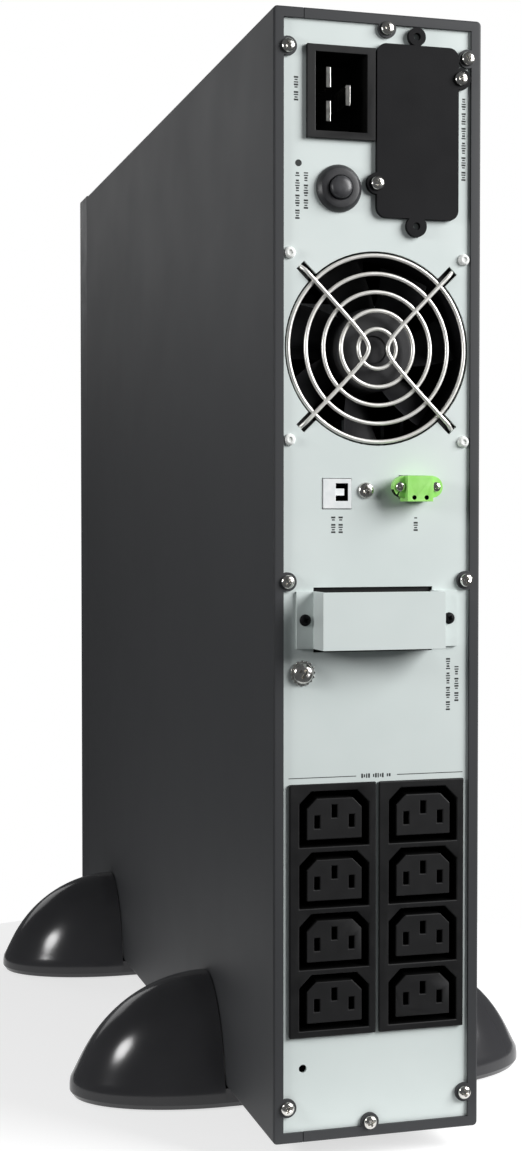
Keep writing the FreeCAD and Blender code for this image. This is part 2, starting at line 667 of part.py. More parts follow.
def make_fan_frame():
    """The square frame, its struts and the hub plate that carries the bearing."""
    centre = fan_centre()
    x, z = centre
    back = f"{FAN_FACE} + fan_deep"
    body = new_body("fan_frame")
    outline = rear_sketch(body, back)
    rectangle(outline, span(x, "fan"), span(z, "fan"))
    circle(outline, centre, FAN_BORE)
    for spot in fan_corners():
        circle(outline, spot, "lug_hole")
    pad(body, outline, "fan_deep")
    half = size("fan") / 2

    def is_corner(edge):
        return runs_along(edge, "y") and near(abs(edge.CenterOfMass.x), half) and len(edge.Vertexes) == 2

    round_edges(body, "fan_corner", is_corner)
    hub_plate = rear_sketch(body, back)
    circle(hub_plate, centre, "hub")
    pad(body, hub_plate, "strut_deep")
    for wide, tall in ((f"2 * {FAN_BORE} + fan_wall", "strut"), ("strut", f"2 * {FAN_BORE} + fan_wall")):
        struts = rear_sketch(body, back)
        rectangle(struts, span(x, wide), span(z, tall))
        pad(body, struts, "strut_deep")
    seat = rear_sketch(body, f"{back} - strut_deep")
    circle(seat, centre, "shaft + bearing_gap + bearing_wall + fit_gap")
    pocket(body, seat, "strut_deep")


def make_fan_rotor():
    """The hub with its shaft and tilted blades, drawn about the body's own Z axis."""
    body = new_body("fan_rotor")
    body.Placement = FreeCAD.Placement(FreeCAD.Vector(), FreeCAD.Rotation(*TURNS["y"]))
    for letter, text in zip("xyz", (fan_centre()[0], f"{FAN_FACE} + hub_front", fan_centre()[1])):
        body.setExpression(f"Placement.Base.{letter}", bound(text))
    profile = new_sketch(body, "XZ", "0")
    shaft_end = "fan_deep - hub_front - strut_deep / 2"
    polygon(profile, [("0", "0"), ("hub", "0"), ("hub", "hub_deep"), ("hub - hub_wall", "hub_deep"),
                      ("hub - hub_wall", "hub_wall"), ("shaft", "hub_wall"), ("shaft", shaft_end),
                      ("0", shaft_end)])
    turned = body.newObject("PartDesign::Revolution", "hub")
    turned.Profile = profile
    turned.ReferenceAxis = (profile, ["V_Axis"])
    turned.Angle = 360
    body.Tip = turned
    root = "hub - hub_wall / 2"
    section = new_sketch(body, "YZ", root)
    lean = math.radians(size("blade_angle"))
    run = f"blade_chord * {math.cos(lean):.6f} / 2"
    rise = f"blade_chord * {math.sin(lean):.6f} / 2"
    thick = "blade_sheet / 2"
    mid = "hub_deep / 2 + 1"
    polygon(section, [(f"-({run})", f"{mid} - {rise} - {thick}"), (run, f"{mid} + {rise} - {thick}"),
                      (run, f"{mid} + {rise} + {thick}"), (f"-({run})", f"{mid} - {rise} + {thick}")])
    blade = pad(body, section, f"{FAN_BORE} - 2 * tip_gap - ({root})")
    ring = body.newObject("PartDesign::PolarPattern", "blades")
    ring.Originals = [blade]
    axis = [part for part in body.Origin.OriginFeatures if part.Role == "Z_Axis"]
    ring.Axis = (axis[0], [""])
    ring.Angle = 360
    bind(ring, Occurrences="blades")
    body.Tip = ring


def make_fan_core():
    centre = fan_centre()
    back = f"{FAN_FACE} + fan_deep"
    outer = "shaft + bearing_gap + bearing_wall"
    start = f"{FAN_FACE} + hub_front + hub_wall + 1"
    node(tube("fan_bearing", "y", outer, "shaft + bearing_gap", centre, (start, back)), "fan_bearing")
    coil = (f"{back} - strut_deep - 1 - stator_deep", f"{back} - strut_deep - 1")
    node(tube("fan_stator", "y", "stator_out", f"{outer} + fit_gap", centre, coil), "fan_stator")


def straight_wire(start, end, radius):
    return Part.makeCylinder(radius, (end - start).Length, start, end - start)


def make_finger_guard():
    """Rings of bright wire welded on two waisted arms, whose ends pass behind the panel."""
    wire = size("wire")
    sheet_thick = size("sheet")
    rear = (size("port_stand") - size("case_depth")) / 2
    arm_y = sheet_thick + wire
    ring_y = arm_y - 1.7 * wire
    loop_y = 2 * sheet_thick + wire
    corner = size("fan") / 2 - size("lug_inset")
    reach = corner - size("arm_short") - wire
    first = size("ring_first")
    last = size("fan") / 2 - size("fan_wall") - size("hole_inset") - size("ring_inset")
    parts = []
    for i in range(5):
        radius = first + i * (last - first) / 4
        parts.append(Part.makeTorus(radius, wire, FreeCAD.Vector(0, ring_y, 0), FreeCAD.Vector(0, 1, 0)))
    for side in (-1, 1):
        waist = side * size("arm_waist")
        bow = size("arm_bow")
        spots = [(waist, arm_y, 0), (side * (size("arm_waist") + 1.2), arm_y, bow),
                 (side * (reach - 3), arm_y, reach - 3), (side * reach, loop_y, reach),
                 (side * (corner - 2.4), loop_y, corner - 2.4)]
        half = [FreeCAD.Vector(*spot) for spot in spots]
        path = [FreeCAD.Vector(p.x, p.y, -p.z) for p in reversed(half[1:])] + half
        for start, end in zip(path, path[1:]):
            parts.append(straight_wire(start, end, wire))
        for spot in path[1:-1]:
            parts.append(Part.makeSphere(wire, spot))
        for k in (-1, 1):
            spot = FreeCAD.Vector(side * corner, loop_y, k * corner)
            parts.append(Part.makeTorus(3.3, wire, spot, FreeCAD.Vector(0, 1, 0)))
    guard = doc.addObject("Part::Feature", "finger_guard")
    guard.Shape = parts[0].multiFuse(parts[1:])
    guard.Placement = FreeCAD.Placement()
    for letter, text in zip("xyz", (fan_centre()[0], REAR, fan_centre()[1])):
        guard.setExpression(f"Placement.Base.{letter}", bound(text))
    node(guard, "finger_guard")


def make_fan_rivets():
    rivets = []
    face = deep("sheet")
    back = f"{FAN_FACE} + fan_deep"
    for i, spot in enumerate(fan_corners()):
        top = f"{face} - rivet_rise"
        head = cone(f"rivet_head_{i}", "y", "rivet_head * 0.62", "rivet_head", spot, (top, face))
        shank = rod(f"rivet_shank_{i}", "y", "rivet", spot, (face, f"{back} + 2"))
        tail = rod(f"rivet_tail_{i}", "y", "rivet_tail", spot, (back, f"{back} + 1.5"))
        rivets.append(fuse(f"rivet_{i}", head, shank, tail))
    node(group("fan_rivets", rivets), "fan_rivets")


# --- signal sockets and battery port

def make_usb():
    x = "usb_x"
    z = down("usb_drop")
    face = deep("sheet - usb_proud")
    open_x = "usb_x + usb_open_x"
    open_z = f"{z} + usb_open_z"
    shell = box("usb_shell", span(x, "usb_side"), (face, f"{face} + usb_deep"), span(z, "usb_side"))
    bore = box("usb_bore", span(open_x, "usb_open_wide"), (f"{face} - {SAFE}", f"{face} + usb_bore"),
               span(open_z, "usb_open_tall"))
    root = f"{open_x} - usb_open_wide / 2"
    tongue = box("usb_tongue", (root, f"{root} + usb_tongue_wide"), (f"{face} + 0.6", f"{face} + usb_bore + 1"),
                 span(open_z, "usb_tongue_tall"))
    node(fuse("usb_port", cut("usb_socket", shell, bore), tongue), "usb_port")


def make_off_plug():
    """A two pole header behind the panel, with the pluggable terminal block pushed into it."""
    x = "off_x"
    z = down("off_drop")
    face = deep("sheet")
    deep_end = f"{face} + off_header_deep"
    poles = [f"{x} + {side} * off_pin_pitch / 2" for side in (-1, 1)]
    skirt = box("off_skirt", span(x, "off_wide"), (f"{face} - off_gap / 2", deep_end), span(z, "off_tall"))
    hollow = box("off_hollow", span(x, "off_wide - 2 * off_wall"),
                 (f"{face} - {SAFE}", f"{deep_end} - 2 * off_wall"), span(z, "off_tall - 2 * off_wall"))
    pin_ends = (f"{face} + 2", f"{deep_end} - off_wall")
    pins = [box(f"off_pin_{i}", span(pole, "off_pin"), pin_ends, span(z, "off_pin"))
            for i, pole in enumerate(poles)]
    node(fuse("epo_header", cut("off_cup", skirt, hollow), *pins), "epo_header")
    outer = f"{face} - off_proud"
    flange_y = (f"{face} - off_flange_out - off_flange_thick", f"{face} - off_flange_out")
    block = box("off_block", span(x, "off_wide - 0.4"), (outer, f"{face} - 0.5"),
                (f"{z} - off_tall / 2 - off_low", f"{z} + off_tall / 2"))
    nose = box("off_nose", span(x, "off_wide - 2 * off_wall - 2 * off_gap"), (f"{face} - 1", f"{deep_end} - 3"),
               span(z, "off_tall - 2 * off_wall - 2 * off_gap"))
    flange = box("off_flange", span(x, "off_flange - off_flange_tall"), flange_y, span(z, "off_flange_tall"))
    ends = [rod(f"off_end_{i}", "y", "off_flange_tall / 2", (spot, z), flange_y)
            for i, spot in enumerate(span(x, "off_flange - off_flange_tall"))]
    blank = fuse("off_blank", block, nose, flange, *ends)
    slots = [box(f"off_slot_{i}", span(pole, "off_pin_slot"), (f"{face} + 1.5", f"{deep_end} + {SAFE}"),
                 span(z, "off_pin_slot")) for i, pole in enumerate(poles)]
    mouth_ends = (f"{outer} - {SAFE}", f"{outer} + 5")
    mouths = [rod(f"off_mouth_{i}", "y", "off_mouth", (pole, f"{z} - off_mouth_drop"), mouth_ends)
              for i, pole in enumerate(poles)]
    screw_spots = [(f"{x} + {side} * off_screw_x", z) for side in (-1, 1)]
    through = (f"{flange_y[0]} - {SAFE}", f"{flange_y[1]} + {SAFE}")
    bores = [rod(f"off_bore_{i}", "y", "off_screw_bore", spot, through) for i, spot in enumerate(screw_spots)]
    node(cut("epo_plug", blank, *slots, *mouths, *bores), "epo_plug")
    screws = [screw(f"off_screw_{i}", spot, flange_y[0], "off_screw_head", "small_screw_rise",
                    "off_screw_shank", "off_flange_thick + 2") for i, spot in enumerate(screw_spots)]
    node(group("epo_plug_screws", screws), "epo_plug_screws")


def make_battery_port():
    """A bridge of folded sheet over the external battery port."""
    body = new_body("battery_port_cover")
    z = up("port_z")
    face = deep("sheet")
    top = REAR + " - port_stand"
    profile = new_sketch(body, "XY", f"{z} - port_tall / 2")
    left, right = "port_left", "port_right"
    inner = (f"{left} + sheet", f"{right} - sheet")
    polygon(profile, [("-port_tab", face), ("-port_tab", REAR), (left, REAR), (left, top), (right, top),
                      (right, REAR), ("port_tab", REAR), ("port_tab", face), (inner[1], face),
                      (inner[1], f"{top} + sheet"), (inner[0], f"{top} + sheet"), (inner[0], face)])
    pad(body, profile, "port_tall")
    holes = rear_sketch(body, REAR)
    for spot in port_screw_spots():
        circle(holes, spot, SCREW_HOLE)
    pocket(body, holes, "sheet")
    screws = [screw(f"port_screw_{i}", spot, REAR, "port_tab_screw", "small_screw_rise")
              for i, spot in enumerate(port_screw_spots())]
    node(group("port_cover_screws", screws), "port_cover_screws")


def make_battery_connector():
    """The two pole connector behind the bridge cover."""
    z = up("port_z")
    middle = "(port_left + port_right) / 2"
    front = f"{deep('sheet')} - connector_proud"
    back = f"{front} + connector_deep"
    housing = box("connector_case", span(middle, "connector_wide"), (front, back), span(z, "connector_tall"))
    flange = box("connector_flange_box", span(middle, "connector_wide + 2 * connector_flange"),
                 (deep("2 * sheet"), deep("2 * sheet + connector_plate")),
                 span(z, "connector_tall + 2 * connector_flange + 2"))
    poles = [(f"{middle} + {side} * connector_pitch / 2", z) for side in (-1, 1)]
    mouths = [rod(f"connector_mouth_{i}", "y", "connector_bore", pole, (f"{front} - {SAFE}", f"{back} - 4"))
              for i, pole in enumerate(poles)]
    contacts = [rod(f"connector_contact_{i}", "y", "connector_pin", pole, (f"{front} + 3", f"{back} - 3"))
                for i, pole in enumerate(poles)]
    shell = cut("connector_shell", fuse("connector_blank", housing, flange), *mouths)
    node(fuse("external_battery_connector", shell, *contacts), "external_battery_connector")


def make_ground_screw():
    centre = ("ground_x", up("ground_z"))
    face = deep("sheet")
    seat = f"{face} - washer_thick"
    hole = "ground_shank + screw_clear"
    washer = tube("ground_washer_disc", "y", "ground_washer", hole, centre, (seat, face))
    bolt = screw("ground_bolt", centre, seat, "ground_head", "ground_rise", "ground_shank", "screw_length + 2")
    node(group("ground_screw", [washer, bolt]), "ground_screw")


# --- outlets

def cropped(x, z, wide, tall, corner):
    """A socket's outline: a rectangle with its two upper corners cut off."""
    left, right = span(x, wide)
    low, high = span(z, tall)
    return [(left, low), (right, low), (right, f"{high} - {corner}"), (f"{right} - {corner}", high),
            (f"{left} + {corner}", high), (left, f"{high} - {corner}")]


def pin_spots(x, z):
    line = f"{z} + pin_line"
    return [(f"{x} - pin_spread", line), (f"{x} + pin_spread", line), (x, f"{line} + earth_rise")]


def make_outlet_block(label, x):
    body = new_body(label)
    face = deep("sheet - outlet_flange")
    socket_x = f"{x} + socket_shift"
    socket_z = up(SOCKET_FIRST)
    low, high = up("outlet_low"), up(f"outlet_low + {OUTLET_TALL}")
    flange = rear_sketch(body, deep("sheet"))
    rectangle(flange, span(x, "outlet_wide"), (low, high))
    pad(body, flange, "outlet_flange")
    core = rear_sketch(body, deep("sheet"))
    rectangle(core, span(x, "outlet_wide - 2 * outlet_inset"),
              (f"{low} + outlet_inset", f"{high} - outlet_inset"))
    pad(body, core, "outlet_deep", True)
    moat = rear_sketch(body, face)
    polygon(moat, cropped(socket_x, socket_z, "socket_wide", "socket_tall", "socket_corner"))
    polygon(moat, cropped(socket_x, socket_z, "insert_wide", "insert_tall", "insert_corner"))
    moats = pocket(body, moat, "socket_bore")
    slot = rear_sketch(body, face)
    for sx, sz in pin_spots(socket_x, socket_z):
        rectangle(slot, span(sx, "slot_wide"), span(sz, "slot_high"))
    slots = pocket(body, slot, "outlet_deep + outlet_flange")
    room = rear_sketch(body, deep("sheet + contact_start"))
    for sx, sz in pin_spots(socket_x, socket_z):
        rectangle(room, span(sx, "contact_wide"), span(sz, "contact_high"))
    rooms = pocket(body, room, "outlet_deep")
    repeat = body.newObject("PartDesign::LinearPattern", "sockets")
    repeat.Originals = [moats, slots, rooms]
    axis = [part for part in body.Origin.OriginFeatures if part.Role == "Z_Axis"]
    repeat.Direction = (axis[0], [""])
    repeat.Occurrences = 4
    bind(repeat, Length="3 * socket_pitch")
    body.Tip = repeat


def make_outlet_contacts():
    """A folded spring contact behind every pin slot."""
    contacts = []
    ends = (deep("sheet + contact_start + contact_gap"), deep("sheet + outlet_deep + 3"))
    for side, x in (("left", "outlet_left_x + socket_shift"), ("right", "outlet_right_x + socket_shift")):
        for row in range(4):
            z = up(f"{SOCKET_FIRST} + {row} * socket_pitch")
            for i, (sx, sz) in enumerate(pin_spots(x, z)):
                name = f"contact_{side}_{row}_{i}"
                solid = box(name + "_block", span(sx, "contact_wide - 2 * contact_gap"), ends,
                            span(sz, "contact_high - 2 * contact_gap"))
                mouth = box(name + "_mouth", span(sx, "slot_wide"), (f"{ends[0]} - {SAFE}", f"{ends[1]} - 5"),
                            span(sz, "slot_high"))
                contacts.append(cut(name, solid, mouth))
    node(group("outlet_contacts", contacts), "outlet_contacts")


# --- power electronics

BOARD_X = f"-{HALF} + sheet + board_gap"
BOARD_FACE = f"{BOARD_X} + board"
BOARD_ENDS = (deep("board_start"), deep("board_start + board_deep"))


def make_board():
    z = (up("board_low"), down("board_top"))
    node(box("main_board", (BOARD_X, BOARD_FACE), BOARD_ENDS, z), "main_board")
    posts = []
    for i, y in enumerate((f"{BOARD_ENDS[0]} + standoff_inset", f"{BOARD_ENDS[1]} - standoff_inset")):
        for k, z_spot in enumerate((up("board_low + standoff_inset"), up("case_height / 2"),
                                    down("board_top + standoff_inset"))):
            posts.append(rod(f"post_{i}_{k}", "x", "standoff", (y, z_spot), (f"-{HALF} + sheet", BOARD_X)))
    node(group("board_standoffs", posts), "board_standoffs")


def make_heat_sink(label, z, sign):
    """A finned extrusion on the board, with its fins pointing up or down."""
    body = new_body(label)
    left = f"{BOARD_FACE} + 1"
    gap = "(sink_wide - fins * fin) / (fins - 1)"
    count = int(size("fins"))
    outer = f"{z} + {sign} * (sink_base + sink_fin)"
    inner = f"{z} + {sign} * sink_base"
    points = [(left, z)]
    for i in range(count):
        start = f"{left} + {i} * (fin + {gap})"
        foot = [(start, inner)] if i else []
        points += foot + [(start, outer), (f"{start} + fin", outer)]
        if i < count - 1:
            points.append((f"{start} + fin", inner))
    points.append((f"{left} + sink_wide", z))
    profile = rear_sketch(body, deep("sink_start + sink_long"))
    polygon(profile, points)
    pad(body, profile, "sink_long")


def make_power_devices():
    """Transistors clamped to the flat side of each heat sink, with their legs in the board."""
    devices = []
    for side, z, sign in (("low", up("sink_low"), -1), ("high", up("sink_low + sink_pitch"), 1)):
        for i in range(4):
            y = deep(f"sink_start + 8 + {i} * device_pitch")
            ends = sorted_ends(z, f"{z} + {sign} * device_thick", sign)
            case = box(f"device_{side}_{i}", (f"{BOARD_FACE} + 6", f"{BOARD_FACE} + 6 + device_tall"),
                       (y, f"{y} + device_wide"), ends)
            middle = f"{z} + {sign} * device_thick / 2"
            legs = [box(f"leg_{side}_{i}_{k}", (BOARD_FACE, f"{BOARD_FACE} + 7"),
                        (f"{y} + {k} * device_wide / 4 - 0.6", f"{y} + {k} * device_wide / 4 + 0.6"),
                        span(middle, "0.8")) for k in (1, 2, 3)]
            devices.append(fuse(f"transistor_{side}_{i}", case, *legs))
    node(group("power_transistors", devices), "power_transistors")


def make_board_parts():
    caps = [rod(f"capacitor_{i}", "x", "cap_radius", (deep("cap_start"), up(f"cap_first_z + {i} * cap_pitch")),
                (BOARD_FACE, f"{BOARD_FACE} + cap_height")) for i in range(5)]
    node(group("bus_capacitors", caps), "bus_capacitors")
    choke = doc.addObject("Part::Torus", "choke_ring_solid")
    bind(choke, Radius1="choke_ring", Radius2="choke_wire")
    place(choke, (f"{BOARD_FACE} + choke_wire + 0.5", deep("choke_in - 8"), up("choke_z - 12")), "x")
    foot = box("choke_foot", (BOARD_FACE, f"{BOARD_FACE} + choke_wire"),
               span(deep("choke_in - 8"), "2 * choke_ring"), span(up("choke_z - 12"), "6"))
    node(fuse("filter_choke", choke, foot), "filter_choke")
    wide = (BOARD_FACE, f"{BOARD_FACE} + core_wide")
    y = deep("core_start")
    z = up("core_z + 20")
    core = box("core_solid", wide, span(y, "core_deep"), span(z, "core_tall"))
    coil = box("coil_solid", (f"{wide[0]} + 6", f"{wide[1]} - 6"), span(y, "core_deep + 2 * coil_proud"),
               span(z, "core_tall * 0.66"))
    node(fuse("transformer", core, coil), "transformer")
    relays = []
    ends = (deep("relay_start"), deep("relay_start + relay_deep"))
    for i in range(5):
        low = up(f"relay_z + {i} * relay_pitch")
        relays.append(box(f"relay_{i}", (BOARD_FACE, f"{BOARD_FACE} + relay_wide"), ends,
                          (low, f"{low} + relay_tall")))
    node(group("relays", relays), "relays")


# --- battery pack

PACK_FRONT = f"{BEZEL} - pack_front_gap"
PACK_REAR = f"{PACK_FRONT} - 2 * battery_deep - 3 * battery_gap - 2 * pack_wall"


def pack_x():
    return (f"-{HALF} + pack_side", f"{HALF} - pack_side")


def pack_z():
    return (up("pack_low"), up("pack_low + 2 * battery_long + 3 * battery_gap + 2 * pack_wall"))


def battery_spots():
    """Rear lower corner of each battery, as X, Y and Z."""
    x = f"{pack_x()[0]} + pack_wall + 0.1"
    y = f"{PACK_REAR} + pack_wall + battery_gap"
    z = f"{pack_z()[0]} + pack_wall + battery_gap"
    return [(x, f"{y} + {i} * (battery_deep + battery_gap)", f"{z} + {k} * (battery_long + battery_gap)")
            for k in (0, 1) for i in (0, 1)]


def make_battery_pack():
    tabs = []
    for i, (x, y, z) in enumerate(battery_spots(), 1):
        top = f"{x} + battery_thick - 2"
        case = box(f"battery_case_{i}", (x, top), (y, f"{y} + battery_deep"), (z, f"{z} + battery_long"))
        lid = box(f"battery_lid_{i}", (f"{top} - 1", f"{x} + battery_thick"),
                  (f"{y} + lid_inset", f"{y} + battery_deep - lid_inset"),
                  (f"{z} + lid_inset", f"{z} + battery_long - lid_inset"))
        node(fuse(f"battery_{i}", case, lid), f"battery_{i}")
        for k, spot in enumerate((f"{y} + tab_in", f"{y} + battery_deep - tab_in")):
            tabs.append(box(f"tab_{i}_{k}", (f"{x} + battery_thick", f"{x} + battery_thick + tab_high"),
                            span(spot, "tab_thick"), span(f"{z} + tab_in", "tab_wide")))
    node(group("battery_terminals", tabs), "battery_terminals")
    x, z = pack_x(), pack_z()
    plate = box("pack_plate", (x[0], f"{x[0]} + pack_wall"), (PACK_REAR, PACK_FRONT), z)
    low_x = (x[0], f"{x[0]} + pack_wall_tall")
    long = (PACK_REAR, PACK_FRONT)
    sides = [box("pack_low_wall", low_x, long, (z[0], f"{z[0]} + pack_wall")),
             box("pack_high_wall", low_x, long, (f"{z[1]} - pack_wall", z[1])),
             box("pack_front_wall", x, (f"{PACK_FRONT} - pack_wall", PACK_FRONT), z),
             box("pack_rear_wall", low_x, (PACK_REAR, f"{PACK_REAR} + pack_wall"), z)]
    grip = box("pack_grip", span("0", "22"), (f"{PACK_FRONT} - {SAFE}", f"{PACK_FRONT} + {SAFE}"),
               span(f"({z[0]} + {z[1]}) / 2", "84"))
    node(cut("battery_tray", fuse("pack_sheet", plate, *sides), grip), "battery_tray")


def soft_path(points):
    """Straight runs joined by tangent arcs, each as large as its two runs allow."""
    edges = []
    start = points[0]
    for before, corner, after in zip(points, points[1:], points[2:]):
        way_in = (corner - before).normalize()
        way_out = (after - corner).normalize()
        shorter = min((corner - before).Length, (after - corner).Length)
        cut_back = 0.45 * shorter
        first = corner - way_in * cut_back
        last = corner + way_out * cut_back
        turn = way_in.getAngle(way_out)
        radius = cut_back / math.tan(turn / 2)
        middle_way = (way_out - way_in).normalize()
        middle = corner + middle_way * (radius / math.cos(turn / 2) - radius)
        edges.append(Part.LineSegment(start, first).toShape())
        edges.append(Part.Arc(first, middle, last).toShape())
        start = last
    edges.append(Part.LineSegment(start, points[-1]).toShape())
    return Part.Wire(edges)


def lead(points, radius):
    path = soft_path(points)
    way = (points[1] - points[0]).normalize()
    section = Part.Wire([Part.Circle(points[0], way, radius).toShape()])
    return path.makePipeShell([section], True, False)


def sheet_sizes():
    """The places that the leads start from, in plain numbers."""
    rear = (size("port_stand") - size("case_depth")) / 2
    return {"rear": rear, "low": size("floor_gap"), "high": size("floor_gap") + size("case_height"),
            "half": size("case_width") / 2}


def make_battery_leads():
    """The leads from the end batteries to the pack's own connector at its rear."""
    at = sheet_sizes()
    pack_front = at["rear"] + size("case_depth") - size("bezel_depth") - size("pack_front_gap")
    pack_rear = pack_front - 2 * size("battery_deep") - 3 * size("battery_gap") - 2 * size("pack_wall")
    face_x = -at["half"] + size("pack_side") + size("pack_wall") + 0.1 + size("battery_thick")
    radius = size("lead") * 0.8
    x = face_x + radius + 0.2
    low = at["low"] + size("pack_low") + size("pack_wall") + size("battery_gap") + size("tab_in")
    gap = size("battery_long") + size("battery_gap")
    middle = low + gap / 2
    first_y = pack_rear + size("pack_wall") + size("battery_gap") + size("tab_in")
    parts = []
    for row, z in enumerate((low, low + gap)):
        way = 1 if row == 0 else -1
        end_z = middle - way * size("lead") * 2
        near_y, far_y, plug_y = first_y + 3, first_y + 26, first_y + 8
        spots = [(near_y, z + way * size("tab_wide")), (near_y, z + way * 20), (far_y, z + way * 42),
                 (far_y, end_z), (plug_y, end_z)]
        points = [FreeCAD.Vector(x, *spot) for spot in spots]
        parts.append(lead(points, radius))
    parts.append(Part.makeBox(size("plug_thick"), size("plug_deep"), size("plug_wide"),
                              FreeCAD.Vector(face_x + 0.2, plug_y - size("plug_deep"),
                                             middle - size("plug_wide") / 2)))
    leads = doc.addObject("Part::Feature", "battery_leads")
    leads.Shape = Part.makeCompound(parts)
    node(leads, "battery_leads")


def make_internal_leads():
    """Mains leads from the inlet to the board and the fan's lead, held inside the case."""
    at = sheet_sizes()
    inlet_z = at["high"] - size("inlet_drop")
    inlet_end = at["rear"] + size("sheet") + size("inlet_deep") + size("inlet_back") + size("blade_tail")
    board_face = -at["half"] + size("sheet") + size("board_gap") + size("board")
    radius = size("lead")
    end_x = board_face + radius + 0.3
    parts = []
    for side in (-1, 1):
        x = size("inlet_x") - size("earth_offset") / 2
        z = inlet_z + side * size("blade_pitch") / 2
        points = [FreeCAD.Vector(x, inlet_end, z), FreeCAD.Vector(x, inlet_end + 22, z),
                  FreeCAD.Vector(x - 4, inlet_end + 38, z - 14), FreeCAD.Vector(end_x, inlet_end + 52, z - 22),
                  FreeCAD.Vector(end_x, inlet_end + 66, z - 22)]
        parts.append(lead(points, radius))
    fan_z = at["high"] - size("fan_drop")
    fan_back = at["rear"] + 2 * size("sheet") + 2 * size("wire") + size("fan_deep")
    hub = FreeCAD.Vector(0, fan_back, fan_z)
    end_z = fan_z - 12
    points = [hub, hub + FreeCAD.Vector(0, 9, 0), hub + FreeCAD.Vector(-12, 16, -7),
              FreeCAD.Vector(end_x, fan_back + 20, end_z), FreeCAD.Vector(end_x, fan_back + 34, end_z)]
    parts.append(lead(points, radius * 0.7))
    leads = doc.addObject("Part::Feature", "internal_leads")
    leads.Shape = Part.makeCompound(parts)
    node(leads, "internal_leads")


# --- front

FRONT = f"{REAR} + case_depth"


def door_x():
    return (f"-{HALF} + door_side", f"{HALF} - door_side")


def door_z():
    return (f"{pack_z()[0]} - pack_clear - 0.4", f"{pack_z()[1]} + pack_clear + 0.4")


def make_bezel():
    """The moulded front: a rounded shell with a window for the battery door and a display seat."""
    body = new_body("front_bezel")
    block = rear_sketch(body, BEZEL)
    rectangle(block, (f"-{HALF}", HALF), (FLOOR, TOP))
    pad(body, block, "bezel_depth", True)
    face_y = (size("port_stand") - size("case_depth")) / 2 + size("case_depth")

    def on_face(edge):
        at = edge.BoundBox
        return near(at.YMin, face_y) and near(at.YMax, face_y)

    round_edges(body, "bezel_round", on_face)
    hollow = rear_sketch(body, BEZEL)
    rectangle(hollow, (f"-{HALF} + bezel_wall", f"{HALF} - bezel_wall"), (up("bezel_wall"), down("bezel_wall")))
    pocket(body, hollow, "bezel_depth - bezel_wall - bezel_round / 2")
    seat = rear_sketch(body, f"{FRONT} - display_deep - display_gap - seat_wall")
    circle(seat, ("0", down("display_drop")), "display_radius + display_gap + seat_wall")
    pad(body, seat, "display_deep + display_gap + seat_wall - bezel_wall / 2", True)
    recess = rear_sketch(body, f"{FRONT} - display_deep - display_gap")
    circle(recess, ("0", down("display_drop")), "display_radius + display_gap")
    pocket(body, recess, "display_deep + display_gap + 1")
    bore = rear_sketch(body, f"{FRONT} - display_deep - display_gap - seat_wall")
    circle(bore, ("0", down("display_drop")), "stub + stub_gap")
    pocket(body, bore, "seat_wall + 1")
    frame = rear_sketch(body, BEZEL)
    wall = "door_gap + 1.4"
    rectangle(frame, (f"{door_x()[0]} - {wall}", f"{door_x()[1]} + {wall}"),
              (f"{door_z()[0]} - {wall}", f"{door_z()[1]} + {wall}"))
    pad(body, frame, "bezel_depth - bezel_wall", True)
    window = rear_sketch(body, BEZEL)
    rectangle(window, (f"{door_x()[0]} - door_gap", f"{door_x()[1]} + door_gap"),
              (f"{door_z()[0]} - door_gap", f"{door_z()[1]} + door_gap"))
    pocket(body, window, "bezel_depth + 1")


def make_door():
    """The pull-off door over the batteries, with a skirt and a row of air slots."""
    body = new_body("battery_door")
    face = f"{FRONT} - door_inset"
    x, z = door_x(), door_z()
    plate = rear_sketch(body, face)
    rectangle(plate, x, z)
    pad(body, plate, "door_skirt")
    hollow = rear_sketch(body, f"{face} - door_skirt")
    rectangle(hollow, (f"{x[0]} + door_thick", f"{x[1]} - door_thick"),
              (f"{z[0]} + door_thick", f"{z[1]} - door_thick"))
    pocket(body, hollow, "door_skirt - door_thick")
    slot = rear_sketch(body, f"{face} - door_thick - 1")
    start = f"{z[0]} + door_slot_margin"
    rectangle(slot, (f"{x[0]} + door_slot_margin", f"{x[1]} - door_slot_margin"),
              (start, f"{start} + door_slot"))
    first = pocket(body, slot, "door_thick + 2")
    repeat = body.newObject("PartDesign::LinearPattern", "air_slots")
    repeat.Originals = [first]
    axis = [part for part in body.Origin.OriginFeatures if part.Role == "Z_Axis"]
    repeat.Direction = (axis[0], [""])
    bind(repeat, Occurrences="door_slots", Length=f"({z[1]}) - ({z[0]}) - 2 * door_slot_margin - door_slot")
    body.Tip = repeat


PRESSES = (("power_button", -1), ("select_button", 0), ("enter_button", 1))


def press_spot(step):
    return (f"{step} * press_pitch", down("display_drop + press_drop"))


